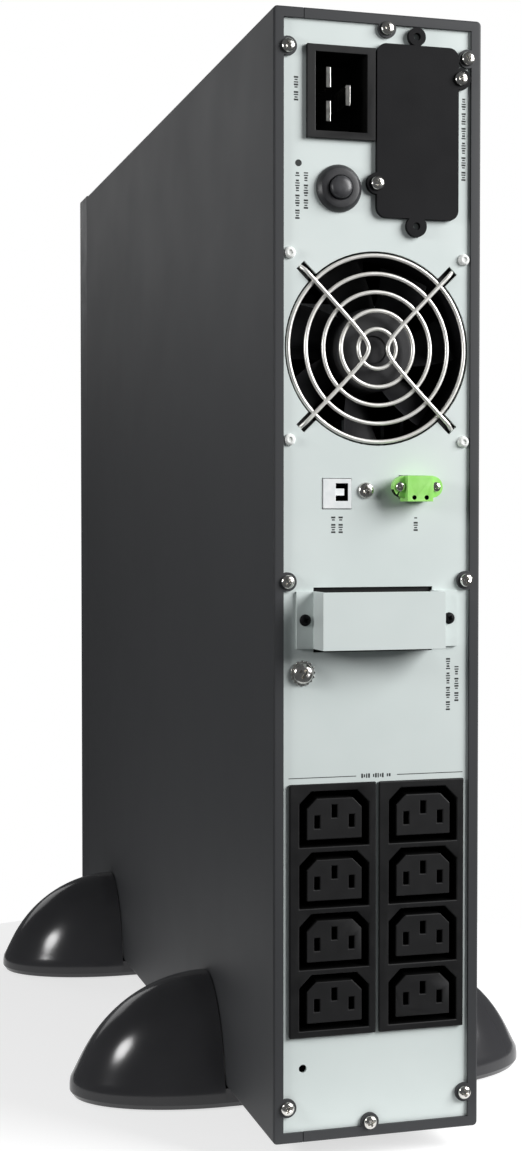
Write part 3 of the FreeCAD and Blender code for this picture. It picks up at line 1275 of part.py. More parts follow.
def make_display():
    """The turning display: a cup on a hollow stub, its board, its window plate and three buttons."""
    centre = ("0", down("display_drop"))
    face = f"{FRONT} - 0.5"
    back = f"{FRONT} - display_deep"
    body = new_body("display_frame")
    cup = rear_sketch(body, face)
    circle(cup, centre, "display_radius")
    pad(body, cup, "display_deep - 0.5")
    stub = rear_sketch(body, back)
    circle(stub, centre, "stub")
    pad(body, stub, "stub_long")
    room = rear_sketch(body, face)
    circle(room, centre, "display_radius - display_wall")
    pocket_in(body, room, "display_deep - 0.5 - display_wall")
    wires = rear_sketch(body, f"{back} - stub_long")
    circle(wires, centre, "stub_bore")
    pocket(body, wires, "stub_long + display_wall + 1")

    lens = new_body("display_lens")
    plate = rear_sketch(lens, face)
    circle(plate, centre, "display_radius - display_wall - 0.1")
    for _, step in PRESSES:
        circle(plate, press_spot(step), "press_radius + press_gap")
    pad(lens, plate, "lens")
    glass = rear_sketch(lens, face)
    rectangle(glass, span("0", "lens_wide"), span(down("display_drop - lens_rise"), "lens_tall"))
    pocket_in(lens, glass, "lens_deep")

    board_y = (f"{back} + display_wall + 0.6", f"{back} + display_wall + 0.6 + board")
    node(tube("display_board", "y", "display_radius - display_wall - 0.5", "stub_bore - 1", centre, board_y),
         "display_board")
    tip = f"{FRONT} - 0.1"
    for label, step in PRESSES:
        spot = press_spot(step)
        stem = rod(label + "_stem", "y", "press_radius", spot, (f"{tip} - press_stem", tip))
        collar_end = f"{face} - lens - 0.1"
        collar = rod(label + "_collar", "y", "press_flange", spot, (f"{collar_end} - 1", collar_end))
        node(fuse(label, stem, collar), label)


def pocket_in(body, sketch, length):
    """A pocket that runs back from a face towards the rear."""
    return pocket(body, sketch, length, True)


# --- feet

def on_side(side, x):
    """An X span, mirrored to the left for side -1."""
    return x if side > 0 else (f"-({x[1]})", f"-({x[0]})")


def half_dome(label, side, y, shrink, inset, low):
    """The half of an ellipsoid that lies outside the case on one side."""
    item = doc.addObject("Part::Ellipsoid", label)
    bind(item, Radius1=f"foot_rise - {shrink}", Radius2=f"foot_reach - {shrink}",
         Radius3=f"foot_half - {shrink}")
    place(item, (f"{side} * {HALF}", y, "-foot_sink"))
    if side < 0:
        item.Placement = FreeCAD.Placement(item.Placement.Base, FreeCAD.Rotation(FreeCAD.Vector(0, 0, 1), 180))
    x = on_side(side, (f"{HALF} + {inset}", f"{HALF} + foot_reach + {SAFE}"))
    room = box(f"{label}_room", x, span(y, f"2 * foot_half + {SAFE}"), (low, "foot_rise"))
    return common(f"{label}_half", item, room)


def make_foot(label, side, y):
    """Half of a tower stand: a hollow dome beside the case and a tongue under it."""
    outer = half_dome(label + "_outer", side, y, "0", "foot_gap", "foot_lift")
    inner = half_dome(label + "_inner", side, y, "foot_wall", "foot_gap + foot_wall", f"-{SAFE}")
    tongue_x = on_side(side, ("tongue_inset", f"{HALF} + foot_gap + foot_wall"))
    tongue = box(label + "_tongue", tongue_x, span(y, "2 * tongue_half"), ("foot_lift", FLOOR))
    solids = [cut(label + "_shell", outer, inner), tongue]
    cuts = [rod(label + "_pad_seat", "z", "pad + pad_gap", (f"{side} * pad_in", y),
                (f"-{SAFE}", "pad_deep + fit_gap"))]
    if side < 0:
        solids.append(box(label + "_hook", ("-tongue_inset - 1", "hook_long"), span(y, "hook"),
                          ("foot_lift + hook_inset", "floor_gap - hook_inset")))
    else:
        cuts.append(box(label + "_socket", (f"-{SAFE}", "hook_long + hook_gap"), span(y, "hook + 2 * hook_gap"),
                        ("foot_lift + hook_inset - hook_gap", "floor_gap - hook_inset + hook_gap")))
    node(cut(label, fuse(label + "_blank", *solids), *cuts), label)


FEET = (("foot_rear_left", -1, -1), ("foot_rear_right", 1, -1), ("foot_front_left", -1, 1),
        ("foot_front_right", 1, 1))


def foot_y(end):
    return deep(f"foot_middle + {end} * foot_spread")


def make_feet():
    pads = []
    for label, side, end in FEET:
        make_foot(label, side, foot_y(end))
        pads.append(rod(label + "_rubber", "z", "pad", (f"{side} * pad_in", foot_y(end)), ("0", "pad_deep")))
    node(group("foot_pads", pads), "foot_pads")


def build():
    fill_sheet()
    make_tray()
    make_cover()
    make_rear_panel()
    make_rim_screws()
    make_panel_screws()
    make_ear_nuts()
    make_slot_cover()
    make_card_guides()
    make_inlet()
    make_breaker()
    make_fan_frame()
    make_fan_rotor()
    make_fan_core()
    make_finger_guard()
    make_fan_rivets()
    make_usb()
    make_off_plug()
    make_battery_port()
    make_battery_connector()
    make_ground_screw()
    make_outlet_block("outlet_block_left", "outlet_left_x")
    make_outlet_block("outlet_block_right", "outlet_right_x")
    make_outlet_contacts()
    make_board()
    make_heat_sink("heat_sink_lower", up("sink_low"), 1)
    make_heat_sink("heat_sink_upper", up("sink_low + sink_pitch"), -1)
    make_power_devices()
    make_board_parts()
    make_battery_pack()
    make_battery_leads()
    make_internal_leads()
    make_bezel()
    make_door()
    make_display()
    make_feet()
    doc.recompute()


def check():
    """Stops the build if any object failed or any sub-part isn't a sound solid."""
    faults = [f"{item.Label}: {item.State}" for item in doc.Objects
              if "Invalid" in item.State or "Error" in item.State]
    for item in nodes:
        shape = item.Shape
        if shape.isNull() or not shape.isValid() or not shape.Solids:
            faults.append(f"{item.Label}: no sound solid")
    if faults:
        raise RuntimeError("\n".join(faults))


def export():
    os.makedirs("parts", exist_ok=True)
    for item in nodes:
        item.Shape.exportStep(f"parts/{item.Label}.step")
        print(item.Label, len(item.Shape.Solids), round(item.Shape.Volume))


build()
check()
export()
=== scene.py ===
import json
import math
import bmesh
import bpy
from mathutils import Matrix, Vector


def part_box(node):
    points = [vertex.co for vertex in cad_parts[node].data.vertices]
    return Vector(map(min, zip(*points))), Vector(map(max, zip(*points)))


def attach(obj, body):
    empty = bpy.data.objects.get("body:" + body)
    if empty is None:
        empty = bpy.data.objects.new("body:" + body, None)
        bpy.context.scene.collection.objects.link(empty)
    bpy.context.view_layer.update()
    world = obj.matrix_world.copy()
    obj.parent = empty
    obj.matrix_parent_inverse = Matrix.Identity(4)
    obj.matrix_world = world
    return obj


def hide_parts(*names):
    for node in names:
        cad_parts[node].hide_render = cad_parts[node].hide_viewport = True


# A tower power supply for a 2U rack space, seen from its rear panel. Lengths are metres in the CAD frame.
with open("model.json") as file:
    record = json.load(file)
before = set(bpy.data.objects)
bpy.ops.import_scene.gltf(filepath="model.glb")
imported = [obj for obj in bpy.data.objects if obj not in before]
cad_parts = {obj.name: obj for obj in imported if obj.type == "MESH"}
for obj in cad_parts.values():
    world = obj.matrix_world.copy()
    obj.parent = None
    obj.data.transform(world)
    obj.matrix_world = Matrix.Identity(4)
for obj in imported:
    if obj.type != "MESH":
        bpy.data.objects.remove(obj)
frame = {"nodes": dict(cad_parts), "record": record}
NODES = frame["nodes"]
BODY_OF = {node: body for body, names in frame["record"]["behaviour"]["bodies"].items() for node in names}
SLOT_OF = {row["node"]: row["material_slot"] for row in frame["record"]["subparts"]}
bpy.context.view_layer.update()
MM = 0.001
OUT = Vector((0, -1, 0))  # out of the rear panel

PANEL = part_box("rear_panel")[0].y
CASE_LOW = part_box("base_tray")[0].z
HALF_CASE = -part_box("base_tray")[0].x


def middle(node):
    """The middle of a node's box."""
    low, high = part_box(node)
    return (low + high) / 2


FAN = middle("fan_frame")


# --- materials

def linear(code):
    """An sRGB hex colour as linear light."""
    parts = [int(code[i:i + 2], 16) / 255 for i in (1, 3, 5)]
    return (*[c / 12.92 if c <= 0.04045 else ((c + 0.055) / 1.055) ** 2.4 for c in parts], 1.0)


def add(tree, kind, settings=None, links=None):
    """Adds one node with its settings and the outputs that feed it."""
    item = tree.nodes.new("ShaderNode" + kind)
    for name, value in (settings or {}).items():
        if name in item.inputs:
            item.inputs[name].default_value = value
        else:
            setattr(item, name, value)
    for name, output in (links or {}).items():
        tree.links.new(output, item.inputs[name])
    return item


def start(name, roughness, metallic=0.0, ior=1.5, **more):
    """A new material with its shader and its place on the object, in metres."""
    material = bpy.data.materials.new(name)
    material.use_nodes = True
    tree = material.node_tree
    tree.nodes.clear()
    settings = {"Roughness": roughness, "Metallic": metallic, "IOR": ior}
    for key, value in more.items():
        settings[key.replace("_", " ").title().replace("Ior", "IOR")] = value
    shader = add(tree, "BsdfPrincipled", settings)
    add(tree, "OutputMaterial", links={"Surface": shader.outputs["BSDF"]})
    place = add(tree, "TexCoord").outputs["Object"]
    return material, tree, shader, place


def stretched(tree, place, along):
    """The place with one axis drawn out, for marks that run along it."""
    scale = [0.06 if axis == along else 1.0 for axis in "xyz"]
    return add(tree, "Mapping", {"Scale": scale}, {"Vector": place}).outputs["Vector"]


def drift(tree, shader, place, first, second, size, sharp=0.2):
    """Base colour that drifts between two colours in patches of that size in millimetres."""
    noise = add(tree, "TexNoise", {"Scale": 1 / (size * MM), "Detail": 3.0}, {"Vector": place})
    share = add(tree, "MapRange", {"From Min": 0.5 - sharp, "From Max": 0.5 + sharp},
                {"Value": noise.outputs["Fac"]})
    mix = add(tree, "MixRGB", {"Color1": linear(first), "Color2": linear(second)},
              {"Fac": share.outputs["Result"]})
    tree.links.new(mix.outputs["Color"], shader.inputs["Base Color"])


def relief(tree, shader, place, size, depth):
    """Bump whose bumps are size wide and depth deep, in millimetres."""
    noise = add(tree, "TexNoise", {"Scale": 1 / (size * MM), "Detail": 2.0}, {"Vector": place})
    bump = add(tree, "Bump", {"Strength": 1.0, "Distance": depth * MM}, {"Height": noise.outputs["Fac"]})
    tree.links.new(bump.outputs["Normal"], shader.inputs["Normal"])


def wear(tree, shader, place, size, low, high):
    """Roughness that wanders between low and high in patches of that size in millimetres."""
    noise = add(tree, "TexNoise", {"Scale": 1 / (size * MM), "Detail": 4.0}, {"Vector": place})
    span = add(tree, "MapRange", {"From Min": 0.3, "From Max": 0.7, "To Min": low, "To Max": high},
               {"Value": noise.outputs["Fac"]})
    tree.links.new(span.outputs["Result"], shader.inputs["Roughness"])


def powder_coated_steel():
    # Cured epoxy powder on folded steel: charcoal with a faint orange-peel surface and a soft, wide sheen.
    material, tree, shader, place = start("charcoal_powder_coated_steel", 0.55, specular_ior_level=0.3)
    drift(tree, shader, place, "#37383a", "#3b3c3e", 60, 0.4)
    relief(tree, shader, place, 0.8, 0.008)
    wear(tree, shader, place, 45, 0.54, 0.58)
    return material


def black_powder_coated_plate():
    # The blank plate has a thinner, blacker coat that hides its laser-cut edge.
    material, tree, shader, place = start("black_powder_coated_plate", 0.6, specular_ior_level=0.12)
    drift(tree, shader, place, "#121214", "#161618", 22, 0.4)
    relief(tree, shader, place, 0.7, 0.02)
    wear(tree, shader, place, 14, 0.54, 0.64)
    return material


def satin_panel_enamel():
    # Sprayed and baked enamel on the steel panel: a pale grey with a hint of green, smooth and satin.
    material, tree, shader, place = start("pale_satin_panel_enamel", 0.42)
    drift(tree, shader, place, "#cfd8d6", "#d6dedc", 45)
    relief(tree, shader, place, 1.4, 0.006)
    wear(tree, shader, place, 30, 0.36, 0.46)
    return material


def nickel_plated_steel():
    # Bright nickel over cold-headed steel: near-mirror heads with tiny tool marks.
    material, tree, shader, place = start("nickel_plated_screw_steel", 0.2, metallic=1.0)
    drift(tree, shader, place, "#d2d0cb", "#e4e2de", 1.5)
    relief(tree, shader, place, 0.8, 0.004)
    wear(tree, shader, place, 2, 0.16, 0.26)
    return material


def nickel_plated_wire():
    # Drawn wire, welded and then plated: a thin milky film over the bright metal keeps it pale all round.
    material, tree, shader, place = start("nickel_plated_drawn_wire", 0.35, metallic=0.5)
    drift(tree, shader, place, "#eceae4", "#f6f5f1", 4)
    relief(tree, shader, place, 2.5, 0.01)
    wear(tree, shader, place, 6, 0.3, 0.4)
    return material


EVEN = (1, 1, 1)  # light goes as far into the plastic in red, green and blue


def moulded_nylon_rivet():
    # Natural nylon is milky and lets a little light in, which softens its edges.
    material, tree, shader, place = start("natural_moulded_nylon", 0.38, subsurface_weight=0.25,
                                          subsurface_radius=EVEN, subsurface_scale=0.0012)
    drift(tree, shader, place, "#e6e8e5", "#f2f3f1", 2)
    relief(tree, shader, place, 0.8, 0.008)
    return material


def moulded_black_socket_plastic():
    # Glass-filled nylon from a spark-eroded mould: deep black with a fine, dry texture.
    material, tree, shader, place = start("black_moulded_glass_filled_nylon", 0.5, specular_ior_level=0.3)
    drift(tree, shader, place, "#101011", "#141415", 9)
    relief(tree, shader, place, 0.6, 0.02)
    wear(tree, shader, place, 6, 0.44, 0.56)
    return material


def moulded_grey_socket_insert():
    # The middle of each socket is a shade greyer, because its mould was polished less.
    material, tree, shader, place = start("grey_moulded_socket_insert", 0.55, specular_ior_level=0.25)
    drift(tree, shader, place, "#151516", "#1b1b1c", 7)
    relief(tree, shader, place, 0.6, 0.02)
    return material


def moulded_fan_plastic():
    # Black PBT with slight flow lines, kept dull so that the fan reads as a dark hollow.
    material, tree, shader, place = start("black_moulded_fan_plastic", 0.5, specular_ior_level=0.4)
    drift(tree, shader, place, "#161618", "#1c1c1f", 12)
    relief(tree, shader, place, 1.0, 0.02)
    return material


def polished_black_abs():
    # The feet come from a polished mould: soft black with a wet-looking gloss and a trace of ripple.
    material, tree, shader, place = start("soft_black_polished_abs", 0.17, specular_ior_level=0.45)
    drift(tree, shader, place, "#2e2e30", "#343436", 30)
    relief(tree, shader, place, 9, 0.03)
    wear(tree, shader, place, 24, 0.15, 0.19)
    return material


def moulded_breaker_plastic():
    # Phenolic moulding: dark grey, semi-matt, with small pores.
    material, tree, shader, place = start("dark_grey_moulded_phenolic", 0.42)
    drift(tree, shader, place, "#27272a", "#2f2f31", 3)
    relief(tree, shader, place, 0.5, 0.02)
    return material


def moulded_button_plastic():
    # The reset button is a paler moulding that a thumb has polished a little.
    material, tree, shader, place = start("mid_grey_moulded_reset_button", 0.36)
    drift(tree, shader, place, "#3a3a3c", "#434346", 3)
    relief(tree, shader, place, 0.8, 0.012)
    wear(tree, shader, place, 3, 0.3, 0.44)
    return material


def stamped_brass():
    # Spring brass, stamped and bent: warm yellow with rolling marks along the strip.
    material, tree, shader, place = start("stamped_spring_brass", 0.3, metallic=1.0)
    drift(tree, shader, stretched(tree, place, "y"), "#c8a858", "#d8bc74", 1)
    relief(tree, shader, stretched(tree, place, "y"), 0.4, 0.01)
    return material


def moulded_white_socket_plastic():
    # White thermoplastic, a touch cool, with the faint gloss of a connector moulding.
    material, tree, shader, place = start("white_moulded_connector_plastic", 0.35, subsurface_weight=0.1,
                                          subsurface_radius=EVEN, subsurface_scale=0.001)
    drift(tree, shader, place, "#dfe3e4", "#eceeee", 3)
    relief(tree, shader, place, 0.7, 0.01)
    return material


def moulded_green_polyamide():
    # Green polyamide of pluggable terminals: bright, slightly waxy and a little translucent.
    material, tree, shader, place = start("lime_green_moulded_polyamide", 0.36, subsurface_weight=0.2,
                                          subsurface_radius=EVEN, subsurface_scale=0.002)
    drift(tree, shader, place, "#98e06c", "#aaea82", 4)
    relief(tree, shader, place, 0.8, 0.015)
    wear(tree, shader, place, 4, 0.3, 0.44)
    return material


def solder_masked_board():
    # Green lacquer over glass cloth, with the copper tracks showing through as paler lanes.
    material, tree, shader, place = start("green_solder_masked_glass_board", 0.3)
    upright = add(tree, "Mapping", {"Rotation": (0, math.pi / 2, 0)}, {"Vector": place})
    lanes = add(tree, "TexBrick", {"Scale": 1 / (9 * MM), "Mortar Size": 0.035, "Color1": linear("#16502f"),
                                   "Color2": linear("#134629"), "Mortar": linear("#2d7a4c")},
                {"Vector": upright.outputs["Vector"]})
    tree.links.new(lanes.outputs["Color"], shader.inputs["Base Color"])
    relief(tree, shader, place, 0.8, 0.02)
    return material


def extruded_aluminium():
    # Extruded and left bare: pale grey metal with die lines along its length.
    material, tree, shader, place = start("extruded_bare_aluminium", 0.35, metallic=1.0)
    drift(tree, shader, stretched(tree, place, "y"), "#b4b7ba", "#c9cccf", 1.2)
    relief(tree, shader, stretched(tree, place, "y"), 0.5, 0.02)
    return material


def moulded_black_epoxy():
    # Transfer-moulded epoxy of transistors and relays: flat black with a fine peppering.
    material, tree, shader, place = start("black_moulded_epoxy", 0.5)
    drift(tree, shader, place, "#1a1a1b", "#242425", 2)
    relief(tree, shader, place, 0.5, 0.02)
    return material


def shrunk_capacitor_sleeve():
    # PVC sleeve shrunk on the can: glossy dark blue, drawn tight with a pale stripe.
    material, tree, shader, place = start("dark_blue_shrunk_pvc_sleeve", 0.25)
    stripe = add(tree, "TexWave", {"Scale": 1 / (95 * MM), "bands_direction": "Z"}, {"Vector": place})
    edge = add(tree, "MapRange", {"From Min": 0.93, "From Max": 0.95}, {"Value": stripe.outputs["Fac"]})
    mix = add(tree, "MixRGB", {"Color1": linear("#16213a"), "Color2": linear("#b9c0c8")},
              {"Fac": edge.outputs["Result"]})
    tree.links.new(mix.outputs["Color"], shader.inputs["Base Color"])
    relief(tree, shader, place, 3, 0.03)
    return material


def pressed_ferrite():
    # Sintered ferrite with varnished windings: near-black grey with a granular skin.
    material, tree, shader, place = start("grey_pressed_ferrite", 0.55)
    drift(tree, shader, place, "#2c2b2b", "#3b3a39", 1.5)
    relief(tree, shader, place, 0.6, 0.04)
    return material


def moulded_battery_abs():
    # Battery cases are matt grey-black ABS, slightly scuffed from handling.
    material, tree, shader, place = start("matt_moulded_battery_abs", 0.55)
    drift(tree, shader, place, "#2a2b2d", "#36373a", 18)
    relief(tree, shader, place, 0.9, 0.03)
    wear(tree, shader, stretched(tree, place, "y"), 6, 0.45, 0.65)
    return material


def galvanised_sheet():
    # Hot-dip zinc freezes in spangles, so neighbouring crystals take the light differently.
    material, tree, shader, place = start("spangled_galvanised_sheet", 0.35, metallic=1.0)
    spangle = add(tree, "TexVoronoi", {"Scale": 1 / (7 * MM)}, {"Vector": place})
    shade = add(tree, "MapRange", {"To Min": 0.2, "To Max": 0.8}, {"Value": spangle.outputs["Color"]})
    mix = add(tree, "MixRGB", {"Color1": linear("#9ea4a8"), "Color2": linear("#c4c9cc")},
              {"Fac": shade.outputs["Result"]})
    tree.links.new(mix.outputs["Color"], shader.inputs["Base Color"])
    relief(tree, shader, place, 2, 0.02)
    return material


def pvc_insulated_wire():
    # Soft PVC insulation: red-brown leads with a low sheen and faint printing dents.
    material, tree, shader, place = start("red_pvc_insulated_wire", 0.4)
    drift(tree, shader, place, "#8e1f1a", "#a12a22", 6)
    relief(tree, shader, place, 1.2, 0.03)
    return material


def etched_front_abs():
    # The front is moulded ABS with an etched leather-fine texture, a shade bluer than the steel.
    material, tree, shader, place = start("charcoal_etched_abs", 0.48)
    drift(tree, shader, place, "#2c2d30", "#323336", 30)
    relief(tree, shader, place, 0.7, 0.03)
    wear(tree, shader, place, 16, 0.42, 0.54)
    return material


def smoked_display_window():
    # Smoked polycarbonate, hard coated: almost black, with a clean mirror-like surface.
    material, tree, shader, place = start("smoked_hard_coated_polycarbonate", 0.06, ior=1.58, coat_weight=0.5,
                                          coat_roughness=0.03)
    drift(tree, shader, place, "#0a0d10", "#0f1317", 14)
    relief(tree, shader, place, 12, 0.01)
    return material


def moulded_rubber():
    # Nitrile pads: dead matt black that dust has greyed a little.
    material, tree, shader, place = start("black_moulded_nitrile_rubber", 0.8)
    drift(tree, shader, place, "#1b1b1b", "#2a2a29", 4)
    relief(tree, shader, place, 0.8, 0.06)
    return material


def sintered_bronze():
    # Oil-filled sintered bronze: brown-gold with open pores.
    material, tree, shader, place = start("sintered_bearing_bronze", 0.4, metallic=1.0)
    drift(tree, shader, place, "#8f6a3c", "#a57f4c", 0.8)
    relief(tree, shader, place, 0.5, 0.03)
    return material


def screen_printed_ink():
    # Screen-printed ink sits on the enamel as a thin dark film with slightly broken edges.
    material, tree, shader, place = start("dark_screen_printed_ink", 0.6)
    drift(tree, shader, place, "#161a1a", "#222727", 1)
    return material


def liquid_crystal_glass():
    # The unlit display shows as a grey-green pane behind its window.
    material, tree, shader, place = start("unlit_liquid_crystal_glass", 0.15)
    drift(tree, shader, place, "#2a3430", "#313c37", 8)
    return material


def painted_recess_shade():
    # Painted shade: the throat of a socket sees almost no light, so its faces are painted near black in place
    # of that shade.
    material, tree, shader, place = start("near_black_painted_throat_shade", 0.6, specular_ior_level=0.1)
    drift(tree, shader, place, "#040404", "#080808", 4)
    return material


FINISH = {
    "case_paint": powder_coated_steel(),
    "panel_paint": satin_panel_enamel(),
    "black_sheet": black_powder_coated_plate(),
    "screw_steel": nickel_plated_steel(),
    "guard_wire": nickel_plated_wire(),
    "rivet_white": moulded_nylon_rivet(),
    "black_plastic": moulded_black_socket_plastic(),
    "black_gloss": polished_black_abs(),
    "breaker_plastic": moulded_breaker_plastic(),
    "contact_brass": stamped_brass(),
    "usb_white": moulded_white_socket_plastic(),
    "green_plastic": moulded_green_polyamide(),
    "circuit_board": solder_masked_board(),
    "aluminium": extruded_aluminium(),
    "component_black": moulded_black_epoxy(),
    "capacitor_sleeve": shrunk_capacitor_sleeve(),
    "ferrite": pressed_ferrite(),
    "battery_case": moulded_battery_abs(),
    "zinc_sheet": galvanised_sheet(),
    "copper_lead": pvc_insulated_wire(),
    "bezel_plastic": etched_front_abs(),
    "display_window": smoked_display_window(),
    "rubber": moulded_rubber(),
    "bearing_bronze": sintered_bronze(),
}
FAN_PLASTIC = moulded_fan_plastic()
SOCKET_INSERT = moulded_grey_socket_insert()
PAINTED_THROAT_SHADE = painted_recess_shade()
INK = screen_printed_ink()
BUTTON = moulded_button_plastic()
PANE = liquid_crystal_glass()


# --- making pieces

def welded(node):
    """A node's shape as an editable mesh, its faces joined at their edges and flat areas made whole."""
    work = bmesh.new()
    work.from_mesh(NODES[node].data)
    bmesh.ops.remove_doubles(work, verts=work.verts, dist=0.001 * MM)
    bmesh.ops.dissolve_limit(work, angle_limit=math.radians(0.5), verts=work.verts, edges=work.edges)
    return work


def islands(node):
    """The boxes of a node's separate solids, as lowest and highest corners."""
    work = bmesh.new()
    work.from_mesh(NODES[node].data)
    bmesh.ops.remove_doubles(work, verts=work.verts, dist=0.001 * MM)
    left = set(work.verts)
    boxes = []
    while left:
        found = {left.pop()}
        edge = list(found)
        while edge:
            vert = edge.pop()
            for link in vert.link_edges:
                other = link.other_vert(vert)
                if other in left:
                    left.discard(other)
                    found.add(other)
                    edge.append(other)
        spots = [vert.co for vert in found]
        low = Vector([min(spot[i] for spot in spots) for i in range(3)])
        high = Vector([max(spot[i] for spot in spots) for i in range(3)])
        boxes.append((low, high))
    work.free()
    return sorted(boxes, key=lambda pair: (round(pair[0].z, 4), pair[0].x))


def finish_mesh(work, name, smooth=35):
    """Turns an editable mesh into a data block with smooth shading up to that angle."""
    mesh = bpy.data.meshes.new(name)
    bmesh.ops.recalc_face_normals(work, faces=work.faces)
    work.to_mesh(mesh)
    work.free()
    mesh.shade_smooth()
    mesh.set_sharp_from_angle(angle=math.radians(smooth))
    return mesh


def show(name, mesh, material, body, stands_for=()):
    """Places a finished mesh on its body, with its finish and the nodes that it stands for."""
    item = bpy.data.objects.new(name, mesh)
    bpy.context.scene.collection.objects.link(item)
    if not mesh.materials:
        mesh.materials.append(material)
    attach(item, body)
    if stands_for:
        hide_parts(*stands_for)
    return item


def break_edges(item, width, segments=2):
    """Rounds the sharp edges by that many millimetres."""
    edge = item.modifiers.new("broken_edges", "BEVEL")
    edge.width = width * MM
    edge.segments = segments
    edge.limit_method = "ANGLE"
    edge.angle_limit = math.radians(40)
    edge.harden_normals = True
    return item


def within(spots, centre, half_x, half_z):
    """True if every corner lies in a window of those half sizes around the centre, in X and Z."""
    slack = 0.02 * MM
    return all(abs(spot.x - centre[0]) < half_x + slack and abs(spot.z - centre[1]) < half_z + slack
               for spot in spots)


def behind(spots, y):
    """True if the face reaches further into the case than y."""
    return max(spot.y for spot in spots) > y


def dress(node, width=0.15, segments=2, paint=()):
    """Shows a node with its edges broken; paint pairs a material with a test on a face's corners."""
    work = welded(node)
    for index, (_, test) in enumerate(paint, 1):
        for face in work.faces:
            if test([vert.co for vert in face.verts]):
                face.material_index = index
    mesh = finish_mesh(work, node + "_shape")
    mesh.materials.append(FINISH[SLOT_OF[node]])
    for material, _ in paint:
        mesh.materials.append(material)
    item = show(node + "_finished", mesh, None, BODY_OF[node], (node,))
    return break_edges(item, width, segments)


def turned(profile, steps, centre, axis=OUT):
    """A solid of revolution: the profile's points are (radius, distance along the axis), in metres."""
    work = bmesh.new()
    turn = Vector((0, 0, 1)).rotation_difference(axis).to_matrix()
    rings = []
    for radius, rise in profile:
        if radius < 1e-7:
            rings.append([work.verts.new(centre + turn @ Vector((0, 0, rise)))])
            continue
        ring = []
        for i in range(steps):
            angle = 2 * math.pi * i / steps
            spot = Vector((radius * math.cos(angle), radius * math.sin(angle), rise))
            ring.append(work.verts.new(centre + turn @ spot))
        rings.append(ring)
    for first, second in zip(rings, rings[1:]):
        for i in range(steps):
            k = (i + 1) % steps
            corners = [first[i % len(first)], first[k % len(first)],
                       second[k % len(second)], second[i % len(second)]]
            work.faces.new(list(dict.fromkeys(corners)))
    return work


def tube(work, points, radius, closed, sides):
    """Adds a round tube that follows the points."""
    count = len(points)
    rings = []
    side = None
    for i, point in enumerate(points):
        before = points[(i - 1) % count] if closed or i else point
        after = points[(i + 1) % count] if closed or i < count - 1 else point
        way = (after - before).normalized()
        if side is None:
            side = way.orthogonal().normalized()
        side = (side - way * side.dot(way)).normalized()
        other = way.cross(side)
        rings.append([work.verts.new(point + radius * (math.cos(a) * side + math.sin(a) * other))
                      for a in (2 * math.pi * k / sides for k in range(sides))])
    pairs = list(zip(rings, rings[1:]))
    if closed:
        pairs.append((rings[-1], rings[0]))
    for first, second in pairs:
        shift = 0
        if closed and first is rings[-1]:
            shift = min(range(sides), key=lambda s: (second[s].co - first[0].co).length)
        for k in range(sides):
            n = (k + 1) % sides
            work.faces.new([first[k], first[n], second[(n + shift) % sides], second[(k + shift) % sides]])
    if not closed:
        work.faces.new(list(reversed(rings[0])))
        work.faces.new(rings[-1])


def brick(work, low, high):
    """Adds a box between two corners."""
    spots = [Vector((x, y, z)) for x in (low.x, high.x) for y in (low.y, high.y) for z in (low.z, high.z)]
    verts = [work.verts.new(spot) for spot in spots]
    for loop in ((0, 1, 3, 2), (4, 6, 7, 5), (0, 4, 5, 1), (2, 3, 7, 6), (0, 2, 6, 4), (1, 5, 7, 3)):
        work.faces.new([verts[i] for i in loop])


# --- case and panel

def make_case():
    """The folded steel shells, the panel and the two cover plates, with the small radius that a fold leaves."""
    dress("base_tray", 0.25, 3)
    dress("top_cover", 0.25, 3)
    dress("rear_panel", 0.12)
    dress("slot_cover", 0.35, 3)
    dress("battery_port_cover", 0.35, 3)


DOME = 0.62  # a screw head's height for a radius of 1


def cross_cutter():
    """The tapered cross that a driver fits, pointing into a head of radius 1."""
    work = bmesh.new()
    for turn in (0, math.pi / 2):
        spin = Matrix.Rotation(turn, 3, "Z")
        rings = []
        for length, width, height in ((0.62, 0.19, 0.3), (0.56, 0.17, 0.0), (0.2, 0.12, -0.42)):
            corners = [(-length, -width), (length, -width), (length, width), (-length, width)]
            rings.append([work.verts.new(spin @ Vector((x, y, height))) for x, y in corners])
        for first, second in zip(rings, rings[1:]):
            for i in range(4):
                k = (i + 1) % 4
                work.faces.new([first[i], first[k], second[k], second[i]])
        work.faces.new(rings[0])
        work.faces.new(list(reversed(rings[-1])))
    return work


def screw_head():
    """One screw head of radius 1 metre that every cross-recessed screw is scaled from."""
    shank, shank_deep, rim, steps = 0.55, 0.4, 0.12, 9
    profile = [(0.0, -shank_deep), (shank, -shank_deep), (shank, 0.0), (0.97, 0.0), (1.0, 0.03), (1.0, rim)]
    for i in range(1, steps + 1):
        angle = math.pi / 2 * i / steps
        profile.append((math.cos(angle) ** 0.8 if i < steps else 0.0, rim + (DOME - rim) * math.sin(angle)))
    head = finish_mesh(turned(profile, 48, Vector(), Vector((0, 0, 1))), "screw_head_blank")
    blank = bpy.data.objects.new("screw_head_blank", head)
    cutter = bpy.data.objects.new("cross_cutter", finish_mesh(cross_cutter(), "cross_cutter"))
    cutter.location.z = DOME - 0.02
    for item in (blank, cutter):
        bpy.context.scene.collection.objects.link(item)
    recess = blank.modifiers.new("cross", "BOOLEAN")
    recess.object = cutter
    recess.solver = "EXACT"
    recess.use_self = True
    bpy.context.view_layer.update()
    depsgraph = bpy.context.evaluated_depsgraph_get()
    cut = bpy.data.meshes.new_from_object(blank.evaluated_get(depsgraph))
    for item in (blank, cutter):
        bpy.data.objects.remove(item)
    return cut


